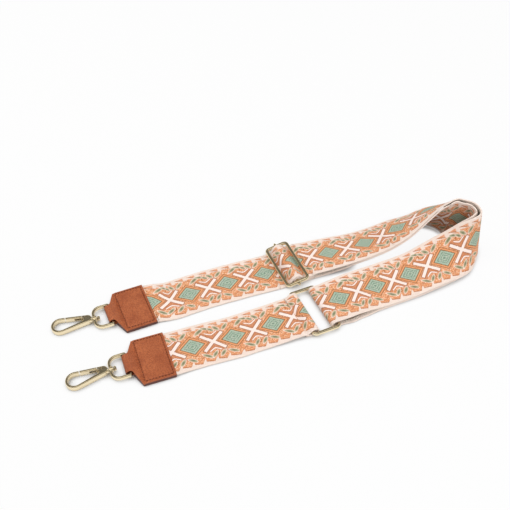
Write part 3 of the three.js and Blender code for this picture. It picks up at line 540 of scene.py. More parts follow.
def arch_profile():
    rise_x = -tangent_foot(ARCH_RADIUS, ARCH_RISE, FLOOR_LAYER_Z)
    fall_x = tangent_foot(ARCH_RADIUS, ARCH_FALL, TOP_LAYER_Z)
    rising, falling = math.tan(ARCH_RISE), math.tan(ARCH_FALL)
    peak_x = rise_x + ((fall_x - rise_x) * falling + TOP_LAYER_Z - FLOOR_LAYER_Z) / (rising + falling)
    peak_z = FLOOR_LAYER_Z + (peak_x - rise_x) * rising
    return rounded([
        (-RUN_OUT, FLOOR_LAYER_Z, 0),
        (rise_x, FLOOR_LAYER_Z, KNEE),
        (peak_x, peak_z, ARCH_RADIUS),
        (fall_x, TOP_LAYER_Z, KNEE),
        (RUN_OUT, TOP_LAYER_Z, 0),
    ])


def wrap_profile():
    foot_x = tangent_foot(WRAP_RADIUS, ARCH_FALL, SEWN_LAYER_Z)
    high = 90 - math.degrees(ARCH_FALL)
    under = [(SEWN_END, FLOOR_LAYER_Z), (foot_x, FLOOR_LAYER_Z)]
    over = [(foot_x, SEWN_LAYER_Z), (SEWN_END, SEWN_LAYER_Z)]
    return under + arc(0, BAR_Z, WRAP_RADIUS, -90 - WRAP_LIFT, high - 360) + over


arch, arch_side = on_table(arch_profile(), (SLIDER_X, UPPER_LINE_Y), SLIDER_HEADING, 1)
wrap, wrap_side = on_table(wrap_profile(), (SLIDER_X, UPPER_LINE_Y), SLIDER_HEADING, 1)
print("arch:", round(arch[:, 2].max(), 1), "mm high")

# %% Round the ring's two bars
RING_LENGTH, RING_HEADING = 30.5, math.radians(4)
RING_BAR_X = (RING_LENGTH - WIRE) / 2
LONG_FOLD, LONG_FOLD_SLACK, LONG_FOLD_RUN = 3.4, 3.4, 7
SHORT_FOLD, SHORT_FOLD_SLACK, SHORT_FOLD_RUN = 3.2, 2.4, 3.4
HEM_LENGTH, HEM_FLAT, HEM_RISE, HEM_RISE_INSET = 10, 2.4, 1.0, 3
HEM_TOP_Z = SEWN_LAYER_Z + HEM_RISE


def long_fold_profile():
    x, z = RING_BAR_X - LONG_FOLD_SLACK, FLOOR_LAYER_Z + LONG_FOLD
    far_x = x + LONG_FOLD_RUN
    return [(far_x, z + LONG_FOLD), *arc(x, z, LONG_FOLD, 90, 270), (far_x, FLOOR_LAYER_Z)]


def short_fold_profile():
    x, z = SHORT_FOLD_SLACK - RING_BAR_X, FLOOR_LAYER_Z + SHORT_FOLD
    top = z + SHORT_FOLD
    hem = x - HEM_LENGTH
    climb = rounded([
        (hem, HEM_TOP_Z, 0),
        (hem + HEM_FLAT, HEM_TOP_Z, WEB_THICKNESS),
        (x - SHORT_FOLD_RUN, top, SHORT_FOLD),
        (x, top, 0),
    ])
    under = [(-RING_BAR_X - HEM_RISE_INSET, FLOOR_LAYER_Z), (hem, FLOOR_LAYER_Z + HEM_RISE)]
    return climb + arc(x, z, SHORT_FOLD, 90, -90)[1:] + under


fold, fold_side = on_table(long_fold_profile(), (RING_X, LOWER_LINE_Y), RING_HEADING, -1)
short_fold, short_fold_side = on_table(short_fold_profile(), (RING_X, LOWER_LINE_Y), RING_HEADING, -1)
print("folds:", len(fold), "and", len(short_fold), "stations")

# %% [markdown]
# ## From end to end
# The stretches are put behind each other and filled up, so that no two stations lie far apart. A
# subdivision modifier could do this, but the pattern needs the true distance along the strip at each
# station.

# %% Single stretch from tab A to the buckle
# Each row is a place between the tab and the arch, and a shift in strand pitches
TAB_A, TAB_B = (-179.6, 42.0, math.radians(3.6)), (-177.4, -21.8, 0.0)
TAB_END, WEB_IN_TAB, POCKET_Z = 38.7, 26.0, 2.15
POCKET_STATIONS, CURVE_STEPS = 8, 8
UPPER_SINGLE_SHARES = [
    (0.16, -0.05), (0.3, -0.03), (0.45, -0.012), (0.62, -0.006), (0.8, -0.006), (0.9, -0.012),
]


def tab_point(tab, distance):
    x, y, heading = tab
    return np.array([x + distance * math.cos(heading), y + distance * math.sin(heading), POCKET_Z])


def level_sides(middles):
    return unit(np.cross(UP, np.gradient(middles, axis=0)))


def keep_off_floor(middles):
    middles[:, 2] = np.maximum(middles[:, 2], FLOOR_LAYER_Z)
    return middles


tab_side = np.array([-math.sin(TAB_A[2]), math.cos(TAB_A[2]), 0.0])
depths = np.linspace(TAB_END - WEB_IN_TAB, TAB_END + WEB_THICKNESS, POCKET_STATIONS)
pocket = np.array([tab_point(TAB_A, d) for d in depths])
single_start = TAB_A[0] + TAB_END
span = SLIDER_X - RUN_OUT - single_start
keys = [
    (single_start + a * span, UPPER_LINE_Y + b * STRAND_PITCH, FLOOR_LAYER_Z)
    for a, b in UPPER_SINGLE_SHARES
]
single = keep_off_floor(through_points([pocket[-1], *keys], CURVE_STEPS))[1:]
print("single stretch:", round(span), "mm")

# %% The long webbing
STATION_PITCH, SAME_PLACE = 2.5, 1e-4
sections = {
    "pocket": (pocket, np.tile(tab_side, (len(pocket), 1))),
    "single": (single, level_sides(single)),
    "arch": (arch, arch_side),
    "outer": (outer, outer_side),
    "fold": (fold, fold_side),
    "inner": (inner[::-1], inner_side[::-1]),
    "wrap": (wrap, wrap_side),
}


def dense(middles, sides):
    """The same stations with more put between those that lie far apart."""
    made_middles, made_sides = [middles[0]], [sides[0]]
    for a, b, side_a, side_b in zip(middles, middles[1:], sides, sides[1:]):
        length = np.linalg.norm(b - a)
        if length < SAME_PLACE:
            continue
        count = max(1, math.ceil(length / STATION_PITCH))
        for k in range(1, count + 1):
            made_middles.append(a + (b - a) * k / count)
            made_sides.append(side_a + (side_b - side_a) * k / count)
    return np.array(made_middles), unit(np.array(made_sides))


def distances(middles):
    """How far along the strip each station lies, in mm."""
    return np.concatenate([[0], np.cumsum(np.linalg.norm(np.diff(middles, axis=0), axis=1))])


route, route_side = dense(*(np.concatenate(parts) for parts in zip(*sections.values())))
route_along = distances(route)
print("long webbing:", round(route_along[-1]), "mm in", len(route), "stations")

# %% The short webbing
# Each row is a place between the tab and the fold, a shift in strand pitches and a share of the hem's height
SHORT_SHARES = [
    (0.95, -0.021, 0.85), (0.83, -0.023, 0.42), (0.665, -0.025, 0.04), (0.5, -0.038, 0), (0.34, -0.024, 0),
    (0.17, -0.018, 0),
]
mouth = tab_point(TAB_B, TAB_END)
short_span, hem_height = short_fold[0][0] - mouth[0], HEM_TOP_Z - FLOOR_LAYER_Z
keys = [
    (mouth[0] + a * short_span, LOWER_LINE_Y + b * STRAND_PITCH, FLOOR_LAYER_Z + c * hem_height)
    for a, b, c in SHORT_SHARES
]
short_line = keep_off_floor(through_points([short_fold[0], *keys, mouth][::-1], CURVE_STEPS))
short_pocket = np.array([tab_point(TAB_B, TAB_END - WEB_IN_TAB)])
short_route, short_side = dense(
    np.concatenate([short_pocket, short_line[:-1], short_fold]),
    np.concatenate([[[0.0, 1.0, 0.0]], level_sides(short_line)[:-1], -short_fold_side]),
)
short_along = distances(short_route)
print("short webbing:", round(short_along[-1]), "mm in", len(short_route), "stations")

# %% [markdown]
# ## The webbing's mesh
# A woven strip has a rounded selvedge that is never quite straight. Its section is swept through the
# stations. Every corner of a face keeps its place on the flat pattern (along, across, and which side), so
# the pattern bends with it. A UV map could hold two of these, and a named attribute holds all three in
# millimetres.

# %% Section of the strip
SELVEDGE_RADIUS, SELVEDGE_STEPS, CROSS_STEPS = 0.75, 7, 14


def strip_section():
    flat = HALF_WIDTH - SELVEDGE_RADIUS
    across = np.linspace(-flat, flat, CROSS_STEPS)
    round_edge = np.radians(np.linspace(90, -90, SELVEDGE_STEPS))[1:-1]
    top = [(v, HALF_WEB) for v in across]
    right = [(flat + SELVEDGE_RADIUS * math.cos(a), HALF_WEB * math.sin(a)) for a in round_edge]
    return np.array(top + right + [(-v, -z) for v, z in top] + [(-v, -z) for v, z in right])


print("section:", len(strip_section()), "points")

# %% Sweep the section
RIPPLE, RIPPLE_LENGTH, RIPPLE_SWELL, RIPPLE_BAND = 0.12, 4.7, 11.3, 2


def strip_points(middles, sides, along, section):
    """The section's points at each station, with both edges rippling a little."""
    travel = unit(np.gradient(middles, axis=0))
    face = unit(np.cross(travel, sides))
    ripple = RIPPLE * np.sin(along[:, None] / RIPPLE_LENGTH) * np.sin(along[:, None] / RIPPLE_SWELL + 1)
    edge_hand = np.sign(section[:, 0]) * (abs(section[:, 0]) > HALF_WIDTH - RIPPLE_BAND)
    across = section[None, :, 0] + ripple * edge_hand
    return middles[:, None] + across[..., None] * sides[:, None] + section[None, :, 1, None] * face[:, None]


def strip(name, middles, sides, along, pattern, turned=math.inf):
    """A piece of webbing. pattern is each station's place on the pattern, which turns round at turned."""
    section = strip_section()
    points = strip_points(middles, sides, along, section)
    count, ring = len(middles), len(section)
    index = np.arange(count * ring).reshape(count, ring)
    ahead = np.roll(index, -1, 1)
    quads = np.stack([index[:-1], index[1:], ahead[1:], ahead[:-1]], -1).reshape(-1, 4)
    ends = np.stack([index[0][::-1], index[-1]])
    mesh = bpy.data.meshes.new(name)
    mesh.from_pydata(((points.reshape(-1, 3) + SHIFT) * MM).tolist(), [], quads.tolist() + ends.tolist())
    columns = (pattern[:, None], section[None, :, 0], section[None, :, 1] / HALF_WEB)
    place = np.stack(np.broadcast_arrays(*columns), -1).reshape(-1, 3)
    way = np.where(np.repeat(pattern[:-1], ring) < turned, 1, -1)[:, None, None]
    corners = place[quads] * np.concatenate([way, way, np.ones_like(way)], -1)
    values = np.concatenate([corners.reshape(-1, 3), place[ends].reshape(-1, 3)]).astype(np.float32)
    mesh.attributes.new("strip_place", "FLOAT_VECTOR", "CORNER").data.foreach_set("vector", values.ravel())
    mesh.polygons.foreach_set("use_smooth", [True] * len(mesh.polygons))
    made = bpy.data.objects.new(name, mesh)
    bpy.context.collection.objects.link(made)
    return made


def distance_at(section, where):
    """The distance along the route of a station of a named section."""
    middle = sections[section][0][where]
    return route_along[np.argmin(np.linalg.norm(route - middle, axis=1))]


print("the outer layer starts at", round(distance_at("outer", 0)), "mm")

# %% [markdown]
# ## Where the pattern lies
# The photo shows where a cross of the pattern lies on each strand, so the pattern is set by these places.
# It also shows the border's darts pointing the same way on both strands, so the pattern is turned round
# at a diamond in the middle of the bend, where it is seen on edge. One straight pattern would be simpler,
# but it would not match.

# %% Places on the pattern
REPEAT = 40.14
CROSS_AT = {"tab_run": 46.4, "double_run": 204.8, "return_run": 849.5, "short": 28.0}
SPLIT_X, UPPER_SIDE_Y, PATTERN_EASE = 110.0, 15, 60
arch_start, arch_end = distance_at("arch", 0), distance_at("arch", -1)
inner_start, wrap_start = distance_at("inner", 0), distance_at("wrap", 0)
split_out = route_along[(route_along > arch_end) & (route[:, 0] > SPLIT_X)][0]
coming_back = (route_along > inner_start) & (route[:, 1] > UPPER_SIDE_Y)
split_back = route_along[coming_back & (route[:, 0] < SPLIT_X)][0]
offsets = [CROSS_AT[name] % REPEAT for name in ("tab_run", "double_run", "return_run")]
pattern_offset = np.interp(
    route_along,
    [arch_start, arch_end, inner_start - PATTERN_EASE, inner_start],
    [offsets[0], offsets[1], offsets[1], offsets[2]],
)
route_pattern = route_along - pattern_offset + REPEAT / 2
turned_at = REPEAT * round((distance_at("outer", len(outer) // 2) - offsets[1] + REPEAT / 2) / REPEAT)
print("the pattern turns round after", round(turned_at / REPEAT), "repeats")

# %% Pieces of webbing
strips = {
    "webbing_tab_run": (0, arch_start),
    "webbing_buckle_arch": (arch_start, arch_end),
    "webbing_upper_run": (arch_end, split_out),
    "webbing_bend": (split_out, split_back),
    "webbing_return_run": (split_back, wrap_start),
    "webbing_buckle_wrap": (wrap_start, route_along[-1]),
}
pieces = {}
for name, (first, last) in strips.items():
    keep = (route_along >= first - LEAST_LENGTH) & (route_along <= last + LEAST_LENGTH)
    stretch = (route[keep], route_side[keep], route_along[keep], route_pattern[keep])
    pieces[name] = strip(name, *stretch, turned=turned_at)
short_pattern = short_along - CROSS_AT["short"] + REPEAT / 2
pieces["webbing_short"] = strip("webbing_short", short_route, short_side, short_along, short_pattern)
for name, piece in pieces.items():
    check = bmesh.new()
    check.from_mesh(piece.data)
    if check.calc_volume(signed=True) < 0:
        piece.data.flip_normals()
    check.free()
    print(name, len(piece.data.polygons), "faces")

# %% [markdown]
# ## Weave
# Seen close, the webbing is rows of yarn that cross each other, with lighter and darker threads among
# them. A group of shader nodes makes its height, its tone and its dots from a place on the flat strip. A
# picture of cloth would be quicker, but it would blur up close and repeat.

# %% Weave group
YARN_PITCH, YARN_SHIFT = 0.55, 0.6
TONE_SCALE = 1.6
LIGHT_DOT_SCALE, LIGHT_DOT_SCATTER, LIGHT_DOT_SIZE, LIGHT_DOT_EDGE = 0.72, 0.9, 0.36, 0.12
DARK_DOT_SCALE, DARK_DOT_FROM, DARK_DOT_EDGE = 0.95, 0.58, 0.06
weave_tree, graph, enter, leave = new_group(
    "weave",
    {"Place": ("Vector", None), "Yarn": ("Float", YARN_PITCH)},
    {"Height": "Float", "Tone": "Float", "Light Dots": "Float", "Dark Dots": "Float"},
)
flat_place, yarn = enter.outputs["Place"], enter.outputs["Yarn"]
split = graph.node("SeparateXYZ", Vector=flat_place)
along, across = Wire(graph, split.outputs[0]), Wire(graph, split.outputs[1])
pick = graph.math("SINE", graph.math("DIVIDE", along * math.tau, yarn))
end_row = graph.math("SINE", graph.math("DIVIDE", across * math.tau, yarn) + pick * YARN_SHIFT)
cells = graph.node("TexVoronoi", Vector=flat_place, Scale=LIGHT_DOT_SCALE, Randomness=LIGHT_DOT_SCATTER)
patches = graph.noise(flat_place, DARK_DOT_SCALE, 1.0)
light_dots = graph.below(cells.outputs["Distance"], LIGHT_DOT_SIZE, LIGHT_DOT_EDGE)
graph.feed(leave.inputs["Height"], pick * 0.5 + end_row * 0.5)
graph.feed(leave.inputs["Tone"], graph.noise(flat_place, TONE_SCALE, 3.0))
graph.feed(leave.inputs["Light Dots"], light_dots)
graph.feed(leave.inputs["Dark Dots"], graph.above(patches, DARK_DOT_FROM, DARK_DOT_EDGE))
print("weave group:", len(weave_tree.nodes), "nodes")

# %% [markdown]
# ## Pattern of the webbing
# The webbing is a jacquard: its pattern is woven, not printed. Diamonds and crosses repeat every 40 mm
# between two cream selvedges with small darts. The motifs are written as distances in millimetres from
# the middle of the nearest cross, so they stay sharp at any zoom. A painted picture would be quicker, but
# it would blur up close.

# %% Where a point lies in the pattern
WOBBLE, WOBBLE_SCALE, WOBBLE_ACROSS, SIDE_EDGE = 0.9, 0.9, 0.7, 0.5
webbing, graph, shader = new_material("jacquard_webbing")
place = graph.node("Attribute", attribute_name="strip_place").outputs["Vector"]
split = graph.node("SeparateXYZ", Vector=place)
along, across, face = (Wire(graph, split.outputs[i]) for i in range(3))
weave = use_group(graph, weave_tree, Place=place)
height, tone, light_dots, dark_dots = (Wire(graph, weave.outputs[i]) for i in range(4))
wobble = (graph.noise(place, WOBBLE_SCALE, 1.0) - 0.5) * WOBBLE
past_cross = graph.math("WRAP", along, REPEAT, 0.0) - REPEAT / 2 + wobble
off_line = across + wobble * WOBBLE_ACROSS
from_cross, from_line = abs(past_cross), abs(off_line)
from_diamond = abs(REPEAT / 2 - from_cross)
far = graph.above(off_line, 0.0, SIDE_EDGE)
print("places:", len(webbing.node_tree.nodes), "nodes")

# %% Ground of peach yarn with dots
GROUND, GROUND_LIGHT, BROWN = srgb(234, 160, 112), srgb(255, 222, 190), srgb(180, 108, 64)
LIGHT_SHARE, DARK_SHARE = 0.9, 0.75
colour = graph.colour(light_dots * LIGHT_SHARE, GROUND, GROUND_LIGHT)
colour = graph.colour(dark_dots * DARK_SHARE, colour, BROWN)
print("ground:", len(webbing.node_tree.nodes), "nodes")

# %% Darts of the border
# Their dark tips point one way along both selvedges. Far and near are the two sides of the strip
SELVEDGE, DART, DART_DARK = srgb(244, 226, 214), srgb(228, 152, 106), srgb(176, 108, 66)
DART_PITCH = REPEAT * 0.3
YARN_EDGE, SOFT_EDGE, LOOSE_EDGE = 0.35, 0.4, 0.6
FAR_FOOT, FAR_SLANT, FAR_LENGTH, FAR_CREAM, FAR_CREAM_SLANT = 21.6, 4.9, 0.7, 19.2, 1.6
NEAR_FOOT, NEAR_SLANT, NEAR_BACK, NEAR_BACK_SLANT = 20.6, 2.6, 32.5, 15.7
NEAR_DEPTH, NEAR_DEPTH_EDGE, NEAR_LENGTH, NEAR_LINE, FAR_LINE = 2.6, 0.8, 0.75, 0.9, 1.0
FAR_END_EDGE, NEAR_END_EDGE, PLAIN_EDGE = 0.05, 0.06, 22.4
PLAIN_SHARE, DART_SHARE, TIP_SHARE, FLECK_SHARE = 0.94, 0.9, 0.85, 0.4
dart = graph.math("WRAP", along + wobble, DART_PITCH, 0.0) * (1 / DART_PITCH)
far_under = from_line - FAR_FOOT + dart * FAR_SLANT
far_over = graph.below(from_line - dart, FAR_FOOT, YARN_EDGE)
far_inside = graph.math("MINIMUM", far_over, graph.above(far_under, 0.0, YARN_EDGE))
far_dart = graph.math("MINIMUM", far_inside, graph.below(dart, FAR_LENGTH, FAR_END_EDGE))
near_outline = graph.math("MINIMUM", dart * NEAR_SLANT + NEAR_FOOT, NEAR_BACK - dart * NEAR_BACK_SLANT)
near_under = from_line - near_outline
near_deep = graph.above(near_under, -NEAR_DEPTH, NEAR_DEPTH_EDGE)
near_inside = graph.below(near_under, 0.0, YARN_EDGE) * near_deep
near_dart = near_inside * graph.below(dart, NEAR_LENGTH, NEAR_END_EDGE)
far_line = graph.below(far_under, FAR_LINE, SOFT_EDGE)
near_line = graph.above(near_under, -NEAR_LINE, SOFT_EDGE)
dart_line = far * far_line + (1 - far) * near_line
far_cream = graph.above(from_line + dart * FAR_CREAM_SLANT, FAR_CREAM, LOOSE_EDGE)
border = far * far_cream + (1 - far) * graph.above(near_under, 0.0, YARN_EDGE)
is_dart = far * far_dart + (1 - far) * near_dart
is_plain = graph.math("MAXIMUM", border, graph.above(from_line, PLAIN_EDGE, SOFT_EDGE))
colour = graph.colour(is_plain * PLAIN_SHARE, colour, SELVEDGE)
colour = graph.colour(is_dart * DART_SHARE, colour, DART)
colour = graph.colour(is_dart * dart_line * TIP_SHARE, colour, DART_DARK)
colour = graph.colour(is_dart * light_dots * FLECK_SHARE, colour, GROUND_LIGHT)
print("border:", len(webbing.node_tree.nodes), "nodes")

# %% Rose field between the arms of the cross, and the scrolls beyond it
ROSE, CREAM, DARK_LINE = srgb(204, 130, 90), srgb(255, 235, 226), srgb(160, 98, 56)
LINE_EDGE, LEAF_EDGE = 0.3, 0.2
FIELD_SLOPE, FIELD_FROM, FIELD_OUTER_SLOPE, FIELD_TO = 0.9, 2.2, 0.6, 8.0
SCROLL_FROM_LINE, SCROLL_RADIUS, SCROLL_LINE, SCROLL_BEYOND = 13.0, 2.6, 0.6, 11.6
FIELD_SHARE, SCROLL_SHARE = 0.75, 0.8
field_inner = graph.above(from_line - from_cross * FIELD_SLOPE, FIELD_FROM, LINE_EDGE)
field_outer = graph.below(from_line - from_cross * FIELD_OUTER_SLOPE, FIELD_TO, LINE_EDGE)
colour = graph.colour(field_inner * field_outer * FIELD_SHARE, colour, ROSE)
scroll_off = from_line - SCROLL_FROM_LINE
from_scroll = graph.math("SQRT", from_cross * from_cross + scroll_off * scroll_off)
scroll = graph.below(abs(from_scroll - SCROLL_RADIUS), SCROLL_LINE, LEAF_EDGE)
scroll = scroll * graph.above(from_line, SCROLL_BEYOND, SOFT_EDGE)
colour = graph.colour(scroll * SCROLL_SHARE, colour, BROWN)
print("field and scrolls:", len(webbing.node_tree.nodes), "nodes")

# %% Leaves
# Each leaf is its middle past the cross and off the strip's middle line, its slant in degrees, and half its
# length and width in mm
LEAF, LEAF_DARK = srgb(178, 172, 134), srgb(118, 122, 96)
LEAVES = [
    (-9.8, 15.2, 34, 4.8, 1.5),
    (-3.4, 16.8, -20, 4.0, 1.1),
    (0.9, 14.4, -42, 2.8, 1.1),
    (5.9, 14.8, -48, 3.2, 1.4),
    (14.6, 14.6, 42, 3.8, 1.4),
    (-9.0, -14.8, -34, 4.4, 1.3),
    (-1.6, -14.6, 46, 3.4, 1.3),
    (6.3, -15.2, 46, 3.4, 1.4),
    (16.0, -15.4, -30, 3.8, 1.3),
]


def leaf(centre_past, centre_off, slant, length, width):
    """A slanted leaf: its distance is 1 on its outline."""
    x, y = past_cross - centre_past, off_line - centre_off
    c, s = math.cos(math.radians(slant)), math.sin(math.radians(slant))
    lengthwise, crosswise = (x * c + y * s) * (1 / length), (y * c - x * s) * (1 / width)
    return graph.math("SQRT", lengthwise * lengthwise + crosswise * crosswise)


# A leaf's rim, blade and heart: how far each reaches, its share and its yarn
LEAF_LAYERS = [(1.5, 0.65, CREAM), (1.15, 0.95, LEAF), (0.6, 0.85, LEAF_DARK)]
for sizes in LEAVES:
    distance = leaf(*sizes)
    for reach, share, yarn_colour in LEAF_LAYERS:
        colour = graph.colour(graph.below(distance, reach, LEAF_EDGE) * share, colour, yarn_colour)
print("leaves:", len(LEAVES), "of them, now", len(webbing.node_tree.nodes), "nodes")

# %% Chevrons and the cross, with a brown line round them
CHEVRON_FOOT, CHEVRON_FAR_SHIFT, CHEVRON_TIP, CHEVRON_SLOPE = 7.0, 0.6, 1.4, 0.66
CHEVRON_REACH, CHEVRON_OUTLINE, CHEVRON_OUTLINE_EDGE, CHEVRON_HALF = 5.7, 1.25, 0.15, 0.72
ARM_SLOPE, ARM_LEAN, ARM_EDGE = 0.674, 0.738, 0.25
ARM_HALF, ARM_OUTLINE, ARM_REACH, ARM_OUTLINE_REACH = 1.55, 2.25, 14.0, 14.8
CHEVRON_LINE_SHARE, ARM_LINE_SHARE = 0.7, 0.9
chevron_foot = CHEVRON_FOOT + far * CHEVRON_FAR_SHIFT
chevron_line = graph.math("SQRT", from_cross * from_cross + CHEVRON_TIP) * CHEVRON_SLOPE
chevron = abs(from_line - chevron_line - chevron_foot)
chevron_end = graph.below(from_cross, CHEVRON_REACH, LINE_EDGE)
chevron_rim = graph.below(chevron, CHEVRON_OUTLINE, CHEVRON_OUTLINE_EDGE) * chevron_end
colour = graph.colour(chevron_rim * CHEVRON_LINE_SHARE, colour, DARK_LINE)
colour = graph.colour(graph.below(chevron, CHEVRON_HALF, LEAF_EDGE) * chevron_end, colour, CREAM)
arm = abs(from_cross * ARM_SLOPE - from_line * ARM_LEAN)
arm_reach = from_cross * ARM_LEAN + from_line * ARM_SLOPE
arm_rim = graph.below(arm, ARM_OUTLINE, ARM_EDGE) * graph.below(arm_reach, ARM_OUTLINE_REACH, LINE_EDGE)
colour = graph.colour(arm_rim * ARM_LINE_SHARE, colour, DARK_LINE)
cross = graph.below(arm, ARM_HALF, ARM_EDGE) * graph.below(arm_reach, ARM_REACH, LINE_EDGE)
colour = graph.colour(cross, colour, CREAM)
print("chevrons and cross:", len(webbing.node_tree.nodes), "nodes")

# %% Diamond, with an olive outline and darker outlines within
# The diamond's own distance is 0 in its middle and 1 on its edge
MINT, MINT_DARK, TEAL = srgb(184, 202, 180), srgb(156, 178, 156), srgb(104, 130, 112)
OLIVE = srgb(138, 100, 58)
DIAMOND_HALF_LENGTH, DIAMOND_HALF_WIDTH = 12.5, 9.8
DIAMOND_LINE, DIAMOND_GROUND, DIAMOND_EDGE, DIAMOND_INSIDE = 1.3, 1.19, 1.0, 0.9
INNER_OUTLINES, INNER_LINE, DIAMOND_HEART, MINT_TONES = (0.62, 0.36), 0.055, 0.13, (0.42, 0.62)
HEART_EDGE, FINE_EDGE, FINEST_EDGE = 0.04, 0.03, 0.02
OUTLINE_SHARE, HEART_SHARE, PALE_SHARE, TEAL_SHARE = 0.75, 0.8, 0.35, 0.3
diamond = from_diamond * (1 / DIAMOND_HALF_LENGTH) + from_line * (1 / DIAMOND_HALF_WIDTH)
colour = graph.colour(graph.below(diamond, DIAMOND_LINE, FINE_EDGE) * OUTLINE_SHARE, colour, DARK_LINE)
colour = graph.colour(graph.below(diamond, DIAMOND_GROUND, FINE_EDGE), colour, GROUND)
colour = graph.colour(graph.below(diamond, DIAMOND_EDGE, FINEST_EDGE), colour, OLIVE)
inside = graph.below(diamond, DIAMOND_INSIDE, FINEST_EDGE)
mint = graph.colour(graph.step(tone, *MINT_TONES), MINT, MINT_DARK)
for outline in INNER_OUTLINES:
    on_line = graph.below(abs(diamond - outline), INNER_LINE, FINE_EDGE)
    mint = graph.colour(on_line * OUTLINE_SHARE, mint, TEAL)
mint = graph.colour(graph.below(diamond, DIAMOND_HEART, HEART_EDGE) * HEART_SHARE, mint, TEAL)
mint = graph.colour(light_dots * PALE_SHARE, mint, SELVEDGE)
mint = graph.colour(dark_dots * TEAL_SHARE, mint, TEAL)
colour = graph.colour(inside, colour, mint)
print("diamond:", len(webbing.node_tree.nodes), "nodes")

# %% Reverse and selvedge
# The reverse shows the same yarns mixed, and the very edges are plain on both sides
REVERSE, REVERSE_WARM, REVERSE_LIGHT = srgb(98, 112, 104), srgb(150, 124, 104), srgb(176, 174, 158)
REVERSE_PLAIN_EDGE, REVERSE_SHARE, BARE_EDGE = 21.0, 0.82, 23.9
WARM_FROM, WARM_EDGE, REVERSE_DOT_SHARE = 0.52, 0.1, 0.5
reverse = graph.colour(graph.above(tone, WARM_FROM, WARM_EDGE), REVERSE, REVERSE_WARM)
reverse = graph.colour(graph.above(from_line, REVERSE_PLAIN_EDGE, LOOSE_EDGE), reverse, SELVEDGE)
reverse = graph.colour(light_dots * REVERSE_DOT_SHARE, reverse, REVERSE_LIGHT)
reverse = graph.colour(dark_dots * REVERSE_DOT_SHARE, reverse, TEAL)
colour = graph.colour(graph.below(face, 0.0, SIDE_EDGE) * REVERSE_SHARE, colour, reverse)
colour = graph.colour(graph.above(from_line, BARE_EDGE, LINE_EDGE), colour, SELVEDGE)
print("reverse:", len(webbing.node_tree.nodes), "nodes")

# %% Surface of the webbing
YARN_PAINTED_SHADE, TONE_LIGHT = 0.07, 0.22
RAISED_DIAMOND, RAISED_DOTS, RAISED_PATTERN, RAISED_YARN, BUMP_DEPTH = 0.5, 0.3, 1.2, 0.5, 0.0003
# Painted light and shade of the weave: its height lightens the yarns' crests and darkens the hollows between
# them. The tone varies the colour at random, as the yarn's own colour does.
tinted = graph.node("HueSaturation", Color=colour)
graph.feed(tinted.inputs["Value"], height * YARN_PAINTED_SHADE + (tone - 0.5) * TONE_LIGHT + 1.0)
graph.feed(shader.inputs["Base Color"], tinted.outputs[0])
shader.inputs["Roughness"].default_value = 0.85
shader.inputs["Specular IOR Level"].default_value = 0.2
shader.inputs["Sheen Weight"].default_value = 0.12
shader.inputs["Sheen Roughness"].default_value = 0.5
raised = (cross + inside * RAISED_DIAMOND + light_dots * RAISED_DOTS) * RAISED_PATTERN + height * RAISED_YARN
bump = graph.node("Bump", Strength=0.5, Distance=BUMP_DEPTH, Height=raised)
graph.feed(shader.inputs["Normal"], bump.outputs[0])
for piece in pieces.values():
    piece.data.materials.append(webbing)
print("webbing material:", len(webbing.node_tree.nodes), "nodes")

# %% [markdown]
# ## Webbing on its bodies
# The buckle slides along the upper strand. The arch and the wrap ride with it, the bend and the short
# webbing ride with the straps, and the runs on both sides stay where they are. One piece on one body would
# be simpler, but the buckle would then slide through the arch.

# %% Ride with the slider and the straps
TAB_BLEND, RUN_BLEND = (-120, -20), (SPLIT_X - 4, 26)
ON_SLIDER = ("webbing_buckle_arch", "webbing_buckle_wrap")


def blend_to_slider(name, start, end):
    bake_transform(pieces[name])


for name, piece in pieces.items():
    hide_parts("short_webbing" if name == "webbing_short" else "long_webbing")
for name in ON_SLIDER:
    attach(pieces[name], "slider")
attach(pieces["webbing_bend"], "upper_strap")
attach(pieces["webbing_short"], "lower_strap")
blend_to_slider("webbing_tab_run", *TAB_BLEND)
for name in ("webbing_upper_run", "webbing_return_run"):
    blend_to_slider(name, *RUN_BLEND)
print("webbing rides on the strap and the slider")

LAID = ("webbing_tab_run", "webbing_upper_run", "webbing_return_run")
lengths = {name: last - first for name, (first, last) in strips.items()}
lengths["webbing_short"] = short_along[-1]
for name, length in lengths.items():
    rests = "slider_bar" if name in ON_SLIDER else "rectangular_ring"
    held = "laid" if name in LAID else "folded"
    WEB_WIDTH * MM
    length * MM
print("cloth declared:", len(lengths), "pieces")

# %% [markdown]
# ## Leather tabs
# Each tab is one piece of leather, folded round the D-ring's bar. Its CAD solid has hard edges, so a copy
# is remeshed finely and smoothed, which rounds the cut edges and the stitch channel as pressing does. A
# bevel would be lighter, but it would leave the channel's corners sharp.

# %% Leather
LEATHER_VOXEL, LEATHER_SMOOTHING = 0.35 * MM, 6
CLOUD_SCALE, CLOUD_TONES, CLOUD_ROUGHNESS, CLOUD_DEPTH = 90.0, (0.3, 0.7), 0.2, 0.6
PEBBLE_SCALE, GRAIN_FROM, GRAIN_EDGE, GRAIN_SHARE, GRAIN_DEPTH = 900.0, 0.5, 0.25, 0.55, 0.0004
PAINT_TONES, PAINT_GLOSS, LEATHER_ROUGHNESS = (0.55, 0.85), 0.12, 0.52
leather_material, graph, shader = new_material("tan_leather")
coords = object_place(graph)
paint = Wire(graph, graph.node("Attribute", attribute_name="edge_paint").outputs["Fac"])
cloud = graph.noise(coords, CLOUD_SCALE, 4.0)
pebbles = graph.node("TexVoronoi", Vector=coords, Scale=PEBBLE_SCALE, Randomness=1.0)
grain = Wire(graph, pebbles.outputs["Distance"])
tan = graph.colour(graph.step(cloud, *CLOUD_TONES), srgb(172, 90, 50), srgb(190, 106, 62))
tan = graph.colour(graph.above(grain, GRAIN_FROM, GRAIN_EDGE) * GRAIN_SHARE, tan, srgb(136, 66, 36))
tan = graph.colour(graph.step(paint, *PAINT_TONES), tan, srgb(84, 38, 26))
